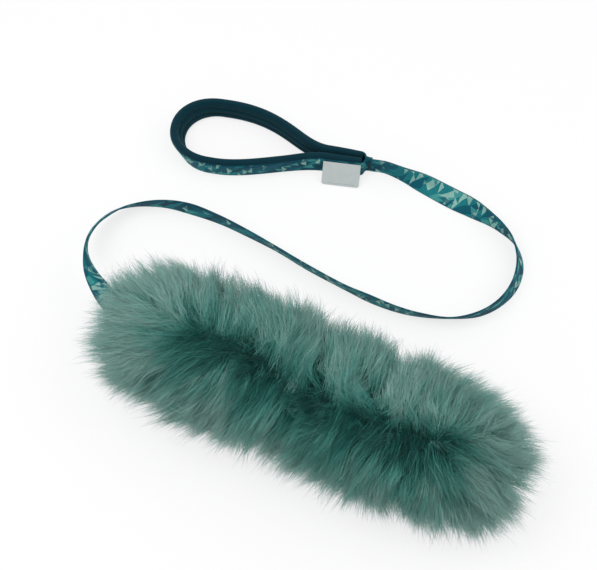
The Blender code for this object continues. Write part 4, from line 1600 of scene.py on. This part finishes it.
@dataclass
class Fleece:
    """Long wool in tufts that part along the top of the sleeve and fall to both sides."""

    MAP = "OFBake"
    end_reach: float = 55.0 * MM
    side_reach: float = 75.0 * MM
    top_reach: float = 62.0 * MM
    bottom_reach: float = 50.0 * MM
    usual_reach: float = 65.0 * MM
    highest: float = 121.0 * MM
    bluffness: float = 3.5
    parting_at_ends: float = math.radians(97.0)
    parting_wander: float = math.radians(15.0)
    wander_at: float = 45.0 * MM
    wander_reach: float = 75.0 * MM
    parting_spread: float = math.radians(30.0)
    parting_dip: float = 0.15
    parted_to: float = 0.86
    parted_right: float = 0.07
    parted_fade: float = 0.3
    under: float = 0.4
    under_from: float = -0.95
    under_fade: float = 0.35
    bare: float = 0.6
    bare_near: float = math.radians(16.0)
    fall: float = math.radians(46.0)
    tufts: int = 430
    locks: int = 5200
    lie: LockLie = LockLie()
    tone: LockTone = LockTone()
    strand: StrandLie = StrandLie()
    layers: tuple[StrandLayer, ...] = (
        StrandLayer("wool_locks", strands=12, segments=4, lengths=(0.84, 1.02), pieces=8, radius=0.2 * MM),
        StrandLayer("wool_under", strands=8, segments=2, lengths=(0.5, 0.86), pieces=3, radius=0.3 * MM),
    )
    lead_room: float = 2.0 * MM
    lead_edge_room: float = 1.5 * MM
    lead_near: float = 13.0 * MM
    lead_search: float = 14.0 * MM
    lead_along: float = 90.0 * MM
    lead_aside: float = 100.0 * MM
    seed: int = 7

    def half_length(self) -> float:
        """Half of the fleece's length."""
        return HIDE_LENGTH / 2 + self.end_reach

    def parting(self, x: np.ndarray) -> np.ndarray:
        """The parting's angle at x. It wanders to the near side just right of the middle."""
        return self.parting_at_ends + self.parting_wander * bell(x - self.wander_at, self.wander_reach)

    def off_parting(self, x: np.ndarray, turn: np.ndarray) -> np.ndarray:
        """How far an angle is from the parting, from minus to plus half a turn."""
        return half_turned(turn - self.parting(x))

    def parted(self, x: np.ndarray) -> np.ndarray:
        """How clear the parting is at x, from 1 along the middle to 0 at the ends, further on the right."""
        share = x / self.half_length()
        return eased((self.parted_to + self.parted_right * share - np.abs(share)) / self.parted_fade)

    def swell(self, x: np.ndarray) -> np.ndarray:
        """How full the fleece is at x, from 0 at its ends to 1."""
        return bluff(np.abs(x / self.half_length()), self.bluffness)

    def outer(self, x: np.ndarray, turn: np.ndarray, share: np.ndarray) -> np.ndarray:
        """Points on the fleece's outer form.

        Args:
            x: Places along the body.
            turn: Angles round it, 0 towards +Y and a quarter turn up.
            share: How far out they are, 1 on the form.

        Returns:
            Rows of x, y and z.
        """
        tall = np.where(np.sin(turn) > 0, self.top_reach, self.bottom_reach)
        out = self.swell(x) * share
        height = HIDE_AXIS_HEIGHT + tall * out * np.sin(turn)
        return np.column_stack([x, self.side_reach * out * np.cos(turn), height])

    @staticmethod
    def skin(x: np.ndarray, turn: np.ndarray) -> tuple[np.ndarray, np.ndarray]:
        """Points on the hide and the way out of it.

        Args:
            x: Places along the body.
            turn: Angles round it.

        Returns:
            The points, and the unit normals.
        """
        half = HIDE_LENGTH / 2
        share = np.clip(np.abs(x / half), 0, 1)
        radius = HIDE_RADIUS * bluff(share, HIDE_BLUFFNESS)
        points = np.column_stack([x, radius * np.cos(turn), HIDE_AXIS_HEIGHT + radius * np.sin(turn)])
        lean = np.sign(x) * share ** (HIDE_BLUFFNESS - 1) / half
        rise = np.clip(radius / HIDE_RADIUS, 1e-3, 1) ** (HIDE_BLUFFNESS - 1) / HIDE_RADIUS
        return points, unit(np.column_stack([lean, rise * np.cos(turn), rise * np.sin(turn)]))

    def tips(self, rng: np.random.Generator, count: int) -> tuple[np.ndarray, np.ndarray]:
        """Places spread evenly over the outer form, fewer underneath and in the parting.

        Args:
            rng: The source of chance.
            count: How many places come out.

        Returns:
            Places along the body, and angles round it.
        """
        angle = np.linspace(0, math.pi, 800)
        x = self.half_length() * blunted(np.cos(angle), 2 / self.bluffness)
        radius = self.usual_reach * np.sin(angle) ** (2 / self.bluffness)
        step = np.hypot(np.diff(x), np.diff(radius))
        share = np.concatenate([[0], np.cumsum(step * (radius[1:] + radius[:-1]))])
        wanted = count * 3
        along = np.interp(rng.uniform(0, share[-1], wanted), share, x)
        turn = rng.uniform(-math.pi, math.pi, wanted)
        worth = self.under + (1 - self.under) * eased((np.sin(turn) - self.under_from) / self.under_fade)
        worth *= 1 - self.bare * bell(self.off_parting(along, turn), self.bare_near) * self.parted(along)
        kept = rng.uniform(0, 1, wanted) < worth
        return along[kept][:count], turn[kept][:count]

    def spread(
        self, rng: np.random.Generator, tuft: np.ndarray, by_tuft: float, by_lock: float
    ) -> np.ndarray:
        """A chance value for each lock, part of it shared by its tuft.

        Args:
            rng: The source of chance.
            tuft: Each lock's tuft.
            by_tuft: How much tufts differ.
            by_lock: How much the locks of a tuft differ.

        Returns:
            A value for each lock.
        """
        return rng.normal(0, by_tuft, self.tufts)[tuft] + rng.normal(0, by_lock, len(tuft))

    def comb_locks(self, rng: np.random.Generator) -> Locks:
        """Stand the locks on the hide, gathered in tufts that each lie their own way.

        Args:
            rng: The source of chance.

        Returns:
            The locks.
        """
        lie = self.lie
        tip_x, tip_turn = self.tips(rng, self.locks)
        tuft_x, tuft_turn = self.tips(rng, self.tufts)
        count = len(tip_x)
        spots = self.outer(tip_x, tip_turn, np.ones(count))
        centres = self.outer(tuft_x, tuft_turn, np.ones(len(tuft_x)))
        tuft = ((spots[:, None, :] - centres[None, :, :]) ** 2).sum(axis=2).argmin(axis=1)
        gather = rng.uniform(0.0, lie.gather, count)
        tip_x = tip_x + gather * (tuft_x[tuft] - tip_x)
        tip_turn = tip_turn + gather * half_turned(tuft_turn[tuft] - tip_turn)
        off = self.off_parting(tip_x, tip_turn)
        parted = self.parted(tip_x)
        end = (tip_x / self.half_length()) ** 4
        wild = lie.calm + (1 - lie.calm) * bell(off, lie.wild_near)
        curly = lie.least_curl + (1 - lie.least_curl) * bell(off, lie.curly_near)
        comb = lie.comb_wave * waves(spots, lie.comb_wave_size, rng)
        comb += self.spread(rng, tuft, lie.comb_by_tuft, lie.comb_by_lock)
        comb = comb * wild + lie.sweep * (1 - np.clip((tip_x - lie.sweep_until) / lie.sweep_fade, 0, 1))
        swirl = lie.swirl_wave * waves(spots, lie.swirl_wave_size, rng)
        swirl += self.spread(rng, tuft, lie.swirl_by_tuft, lie.swirl_by_lock)
        half = HIDE_LENGTH / 2
        table = np.linspace(-half, half, 600)
        root_x = np.interp(tip_x, table + self.end_reach * (table / half) ** 3, table) - comb * (1 - end)
        fall = np.minimum(lie.most_fall * np.abs(off), self.fall * (1 - np.abs(off) / math.pi) ** 0.9)
        fall *= np.sign(off) * (lie.end_fall + (1 - lie.end_fall) * parted)
        stray = rng.uniform(0, 1, count) < lie.stray_share * bell(off, lie.stray_near)
        fall = np.where(stray, lie.stray_fall * fall, fall)
        reach = lie.reach + lie.end_reach * end + lie.reach_wave * waves(spots, lie.reach_wave_size, rng)
        reach += self.spread(rng, tuft, lie.reach_spread, lie.reach_spread)
        reach -= self.parting_dip * bell(off, self.parting_spread) * parted
        short = rng.uniform(0, 1, count) < lie.short_share
        reach = np.where(short, reach * rng.uniform(*lie.short_reach, count), reach)
        tone = self.lock_tones(off, parted, stray, tuft, rng)
        bow = rng.normal(0, lie.bow, (count, 3)) * wild[:, None]
        most = MOST_STRAY * lie.curl
        curl = np.clip(rng.normal(0, lie.curl, (count, 3)), -most, most) * curly[:, None]
        return Locks(
            tip_x=tip_x,
            tip_turn=tip_turn,
            root_x=np.clip(root_x, -half, half),
            root_turn=tip_turn - fall - swirl * wild,
            fall=fall,
            comb=comb,
            reach=reach,
            tone=tone,
            bow=bow,
            curl=curl,
        )

    def lock_tones(
        self,
        off: np.ndarray,
        parted: np.ndarray,
        stray: np.ndarray,
        tuft: np.ndarray,
        rng: np.random.Generator,
    ) -> np.ndarray:
        """How light each lock is: painted shade darkens it in the parting, and painted light lightens it far
        from the parting and at the ends.

        Args:
            off: How far the locks are from the parting.
            parted: How clear the parting is there.
            stray: Which locks lie across it.
            tuft: Each lock's tuft.
            rng: The source of chance.

        Returns:
            A tone for each lock.
        """
        tone = self.tone
        # Painted shade in the parting, weaker at the ends where the parting fades out
        width = np.where(off > 0, tone.parting_near, tone.parting_far)
        dark = bell(off, width) * (tone.parting_at_ends + (1 - tone.parting_at_ends) * parted)
        # Painted light far from the parting, and at the ends where the parting fades out
        painted_rim_light = tone.painted_rim_light * eased((np.abs(off) - tone.painted_rim_light_from) / tone.painted_rim_light_over)
        light = tone.usual - tone.parting * dark + np.maximum(painted_rim_light, tone.painted_rim_light * (1 - parted))
        light += self.spread(rng, tuft, tone.by_tuft, tone.by_lock)
        bleached = rng.uniform(0, 1, len(off)) < tone.bleached_share
        # Strays lie on top across the parting, so they are lightened out of its painted shade
        return light + tone.stray * stray + tone.bleached * bleached

    def grow(
        self, locks: Locks, layer: StrandLayer, rng: np.random.Generator
    ) -> tuple[np.ndarray, np.ndarray]:
        """Work the strands of every lock out.

        Args:
            locks: The locks.
            layer: Which of their strands.
            rng: The source of chance.

        Returns:
            Points as strands by points by 3, and each strand's tone.
        """
        lie = self.strand
        lock = np.repeat(np.arange(len(locks.tip_x)), layer.strands)
        total = len(lock)
        loose = rng.uniform(0, 1, total) < lie.loose_share
        spread = np.where(loose, lie.loose_spread, 1.0) * lie.tip_spread
        turn = locks.tip_turn[lock]
        share = np.clip(locks.reach[lock] * (1 + rng.normal(0, lie.reach_spread, total)), *lie.reaches)
        tips = self.outer(locks.tip_x[lock], turn, share)
        tips[:, 0] *= 1 - lie.end_draw + lie.end_draw * np.clip(share, 0, lie.end_most)
        tips += np.clip(rng.normal(0, 1, (total, 3)), -MOST_STRAY, MOST_STRAY) * spread[:, None]
        half = HIDE_LENGTH / 2
        root_x = np.clip(locks.root_x[lock] + rng.normal(0, lie.root_spread, total), -half, half)
        root_turn = locks.root_turn[lock] + rng.normal(0, lie.root_spread / HIDE_RADIUS, total)
        roots, normals = self.skin(root_x, root_turn)
        span = np.linalg.norm(tips - roots, axis=1, keepdims=True)
        outward = unit((tips - np.array([0, 0, HIDE_AXIS_HEIGHT])) * np.array([lie.outward_along, 1.0, 1.0]))
        around = np.column_stack([np.zeros(total), -np.sin(turn), np.cos(turn)])
        pull = (locks.fall[lock] / self.fall)[:, None] * lie.fall
        combed = locks.comb[lock] / lie.comb_reach
        drift = np.column_stack([combed, np.zeros(total), np.full(total, lie.sag)])
        lay = unit(outward * lie.outward + around * pull + drift)
        bow = locks.bow[lock]
        first = roots + normals * span * lie.rise + bow
        second = tips - lay * span * lie.drop - bow * lie.bow_back + rng.normal(0, lie.sway, (total, 3))
        shortest, longest = layer.lengths
        loose_length = rng.uniform(shortest, lie.loose_length * longest, total)
        length = np.where(loose, loose_length, rng.uniform(shortest, longest, total))
        even = np.linspace(0, 1, layer.segments + 1)[None, :, None]
        t = even * length[:, None, None]
        lines = bezier(roots[:, None], first[:, None], second[:, None], tips[:, None], t)
        lines = lines + locks.curl[lock][:, None] * np.sin(math.tau * t)
        lines = lines + rng.normal(0, lie.crimp, lines.shape) * even
        ground = lie.lowest + lie.lowest_spread * rng.uniform(0, 1, total)[:, None]
        lines[:, :, 2] = np.clip(lines[:, :, 2], ground, self.highest)
        return lines, np.clip(locks.tone[lock] + rng.normal(0, self.tone.by_strand, total), 0, 1)

    def clear_of(self, lines: np.ndarray, strip: np.ndarray) -> np.ndarray:
        """Part the strands round the lead where it comes through them.

        Args:
            lines: The strands' points.
            strip: The lead's rows of x, y, z and lean.

        Returns:
            The strands' points again.
        """
        up, out = strip_axes(strip)
        near = (np.abs(strip[:, 0] - THROAT.x) < self.lead_along) & (np.abs(strip[:, 1]) < self.lead_aside)
        rows, up, out = strip[near][:, :3], up[near], out[near]
        flat = lines.reshape(-1, 3)
        low, high = rows.min(0) - self.lead_search, rows.max(0) + self.lead_search
        close = np.flatnonzero(np.all((flat > low) & (flat < high), axis=1))
        points = flat[close]
        nearest = np.zeros(len(points), int)
        best = np.full(len(points), np.inf)
        for index, row in enumerate(rows):
            gap = ((points - row) ** 2).sum(axis=1)
            better = gap < best
            best[better] = gap[better]
            nearest[better] = index
        offset = points - rows[nearest]
        away = (offset * out[nearest]).sum(axis=1)
        wide = np.abs((offset * up[nearest]).sum(axis=1))
        hit = (wide < WEB_WIDTH / 2 + self.lead_edge_room) & (np.abs(away) < self.lead_room)
        hit &= best < self.lead_near**2
        side = np.where(away[hit] >= 0, 1.0, -1.0)
        flat[close[hit]] += (side * self.lead_room - away[hit])[:, None] * out[nearest[hit]]
        return flat.reshape(lines.shape)

    def build(self, finish: bpy.types.Material, strip: np.ndarray) -> None:
        """Make the fleece as pieces that each hold the strands of one stretch of the body.

        Args:
            finish: The wool's material.
            strip: The lead's rows, which the wool keeps clear of.
        """
        rng = np.random.default_rng(self.seed)
        locks = self.comb_locks(rng)
        for layer in self.layers:
            lines, tone = self.grow(locks, layer, rng)
            lines = self.clear_of(lines, strip)
            order = np.argsort(lines[:, 0, 0] + rng.uniform(0, 1e-6, len(lines)), kind="stable")
            for index, chosen in enumerate(np.array_split(order, layer.pieces)):
                name = f"{layer.name}_{index + 1:02d}"
                mesh = self.strand_mesh(name, lines[chosen], tone[chosen], layer)
                put(name, mesh, finish, Body.SHEEPSKIN)
        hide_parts("wool_pile")

    def strand_mesh(
        self, name: str, lines: np.ndarray, tone: np.ndarray, layer: StrandLayer
    ) -> bpy.types.Mesh:
        """Closed three-sided strands along lines.

        Args:
            name: The mesh's name.
            lines: Points as strands by points by 3.
            tone: How light each strand is, which the finish reads.
            layer: What kind of strands they are.

        Returns:
            The mesh.
        """
        total, rows = lines.shape[:2]
        travel = unit(np.gradient(lines, axis=1))
        aside = unit(np.cross(travel, OBLIQUE))
        third = np.cross(travel, aside)
        t = np.linspace(0, 1, rows)
        thin = layer.radius * (1 - layer.taper * t**layer.taper_power)
        corners = []
        for turn in (0, math.tau / 3, 2 * math.tau / 3):
            corners.append(lines + (aside * math.cos(turn) + third * math.sin(turn)) * thin[None, :, None])
        ring = np.stack(corners, axis=2)[:, :-1].reshape(total, -1, 3)
        verts = np.concatenate([ring, lines[:, -1:]], axis=1)
        per = verts.shape[1]
        faces, marks = [], []
        for row, (here, ahead) in enumerate(zip(t, t[1:])):
            for side in range(3):
                a, b = row * 3 + side, row * 3 + (side + 1) % 3
                if row < rows - 2:
                    faces.append((a, b, b + 3, a + 3))
                    marks.append(((here, side), (here, side + 1), (ahead, side + 1), (ahead, side)))
                else:
                    faces.append((a, b, per - 1))
                    marks.append(((here, side), (here, side + 1), (ahead, side + 0.5)))
        faces.append((2, 1, 0))
        marks.append(((0.0, 2), (0.01, 1), (0.0, 0)))
        loops = (np.concatenate(faces)[None, :] + np.arange(total)[:, None] * per).ravel()
        sizes = np.tile([len(face) for face in faces], total)
        mesh = bpy.data.meshes.new(name)
        mesh.vertices.add(total * per)
        mesh.vertices.foreach_set("co", verts.astype(np.float32).ravel())
        mesh.loops.add(len(loops))
        mesh.loops.foreach_set("vertex_index", loops.astype(np.int32))
        mesh.polygons.add(len(sizes))
        starts = np.concatenate([[0], np.cumsum(sizes)[:-1]])
        mesh.polygons.foreach_set("loop_start", starts.astype(np.int32))
        # The map's u runs along the strand and its v is the tone, both just inside the map's square. The
        # three sides of a strand lie a hair apart in v, so that their faces have an area there
        uv = np.concatenate(marks)
        flat = np.zeros((total, len(uv), 2), np.float32)
        flat[:, :, 0] = 0.002 + 0.996 * min(layer.lengths[1], 1.0) * uv[None, :, 0]
        flat[:, :, 1] = 0.004 + 0.985 * tone[:, None] + uv[None, :, 1] / 3 * 0.004
        mesh.uv_layers.new(name=self.MAP).data.foreach_set("uv", flat.ravel())
        mesh.update(calc_edges=True)
        mesh.shade_smooth()
        return mesh


@dataclass
class Underwool:
    """The dense wool next to the hide, a soft dark form that the long locks stand on."""

    depth: float = 11.0 * MM
    past_hide: float = 2.0 * MM
    rough: float = 1.6 * MM
    lump_sizes: tuple[float, float] = (9.0 * MM, 4.0 * MM)
    lump_waves: int = 24
    seed: int = 21

    def build(self, finish: bpy.types.Material) -> None:
        """Make the underwool.

        Args:
            finish: Its material.
        """
        shell = bmesh.new()
        bmesh.ops.create_uvsphere(shell, u_segments=72, v_segments=120, radius=1.0)
        bmesh.ops.rotate(shell, verts=shell.verts, matrix=Matrix.Rotation(math.radians(90), 3, "Y"))
        rng = np.random.default_rng(self.seed)
        power = 2 / HIDE_BLUFFNESS
        points = np.array([vert.co for vert in shell.verts])
        out = np.hypot(points[:, 1], points[:, 2])
        turn = np.arctan2(points[:, 2], points[:, 1])
        around = np.column_stack([np.cos(turn), np.sin(turn)])
        along = (HIDE_LENGTH / 2 + self.past_hide) * blunted(points[:, 0], power)
        radius = (HIDE_RADIUS + self.depth) * out**power
        placed = np.column_stack([along, around * radius[:, None]]) + np.array([0.0, 0.0, HIDE_AXIS_HEIGHT])
        coarse, fine = (waves(placed, size, rng, self.lump_waves) for size in self.lump_sizes)
        placed[:, 1:] += around * ((coarse + fine * 0.5) * self.rough * out)[:, None]
        for vert, co in zip(shell.verts, placed):
            vert.co = co
        bmesh.ops.recalc_face_normals(shell, faces=shell.faces)
        put("underwool", mesh_of("underwool", shell), finish, Body.SHEEPSKIN)


@dataclass(frozen=True)
class Lamp:
    """A square soft lamp that faces the toy, its place and size in metres and its power in watts."""

    name: str
    place: tuple[float, float, float]
    size: float
    power: float

    def hang(self, target: Vector) -> None:
        """Put the lamp in the scene.

        Args:
            target: Where it faces.
        """
        data = bpy.data.lights.new(self.name, "AREA")
        data.shape = "SQUARE"
        data.size = self.size
        data.energy = self.power
        lamp = bpy.data.objects.new(self.name, data)
        bpy.context.scene.collection.objects.link(lamp)
        place = Vector(self.place)
        turn = (place - target).to_track_quat("Z", "Y").to_matrix().to_4x4()
        lamp.matrix_world = Matrix.Translation(place) @ turn


@dataclass
class Studio:
    """The white ground, the soft lamps and the camera."""

    azimuth: float = math.radians(25.249)
    elevation: float = math.radians(60.0)
    view_angle: float = math.radians(24.0)
    distance: float = 1324.84 * MM
    target: tuple[float, float, float] = (-67.28 * MM, 122.27 * MM, 0.0)
    floor_size: float = 12.0
    room_light: float = 0.66
    lamps: tuple[Lamp, ...] = (
        Lamp("key_lamp", (-0.5, -0.35, 1.5), size=1.1, power=12.5),
        Lamp("fill_lamp", (0.9, 0.6, 1.3), size=1.4, power=7.0),
    )

    def build(self, finish: bpy.types.Material) -> None:
        """Set the floor, the lights and the camera up.

        Args:
            finish: The floor's material.
        """
        shell = bmesh.new()
        bmesh.ops.create_grid(shell, x_segments=1, y_segments=1, size=self.floor_size / 2)
        ground = put("ground", mesh_of("ground", shell), finish, None)
        self._camera()
        for lamp in self.lamps:
            lamp.hang(Vector(self.target))
        world = bpy.data.worlds.new("soft_room")
        world.use_nodes = True
        background = world.node_tree.nodes["Background"]
        background.inputs["Color"].default_value = (1.0, 1.0, 1.0, 1.0)
        background.inputs["Strength"].default_value = self.room_light
        bpy.context.scene.world = world
        bpy.context.scene.view_settings.view_transform = "Standard"

    def _camera(self) -> None:
        """Aim the camera."""
        data = bpy.data.cameras.new("camera")
        data.sensor_fit = "HORIZONTAL"
        data.angle = self.view_angle
        camera = bpy.data.objects.new("camera", data)
        bpy.context.scene.collection.objects.link(camera)
        flat, rise = math.cos(self.elevation), math.sin(self.elevation)
        back = Vector((math.sin(self.azimuth) * flat, -math.cos(self.azimuth) * flat, rise))
        turn = back.to_track_quat("Z", "Y").to_matrix().to_4x4()
        camera.matrix_world = Matrix.Translation(Vector(self.target) + back * self.distance) @ turn
        bpy.context.scene.camera = camera


def dress(finish: bpy.types.Material, *nodes: str) -> None:
    """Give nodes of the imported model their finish.

    Args:
        finish: The material.
        nodes: The nodes' names.
    """
    for node in nodes:
        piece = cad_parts[node]
        piece.data.materials.clear()
        piece.data.materials.append(finish)


def main() -> None:
    """Build the toy's looks in order."""
    logging.basicConfig(level=logging.INFO, format="%(name)s: %(message)s")
    webbing = PrintFinish().material()
    thread = ThreadFinish().material()
    Studio().build(FloorFinish().material())
    lead = Lead()
    lead.build(webbing)
    path = LoopPath()
    LoopWebbing(path).build(webbing, thread)
    Padding(path).build(PaddingFinish().material(), thread)
    SideLabel(path).build(LabelFinish().material(), thread)
    dress(HideFinish().material(), "hide_sleeve")
    dress(FillingFinish().material(), "core_filling")
    dress(thread, "seam_thread", "throat_tack", "far_tack", "neck_tack")
    dress(webbing, "core_strap")
    Underwool().build(UnderwoolFinish().material())
    Fleece().build(WoolFinish().material(), lead.line())


if __name__ == "__main__":
    main()
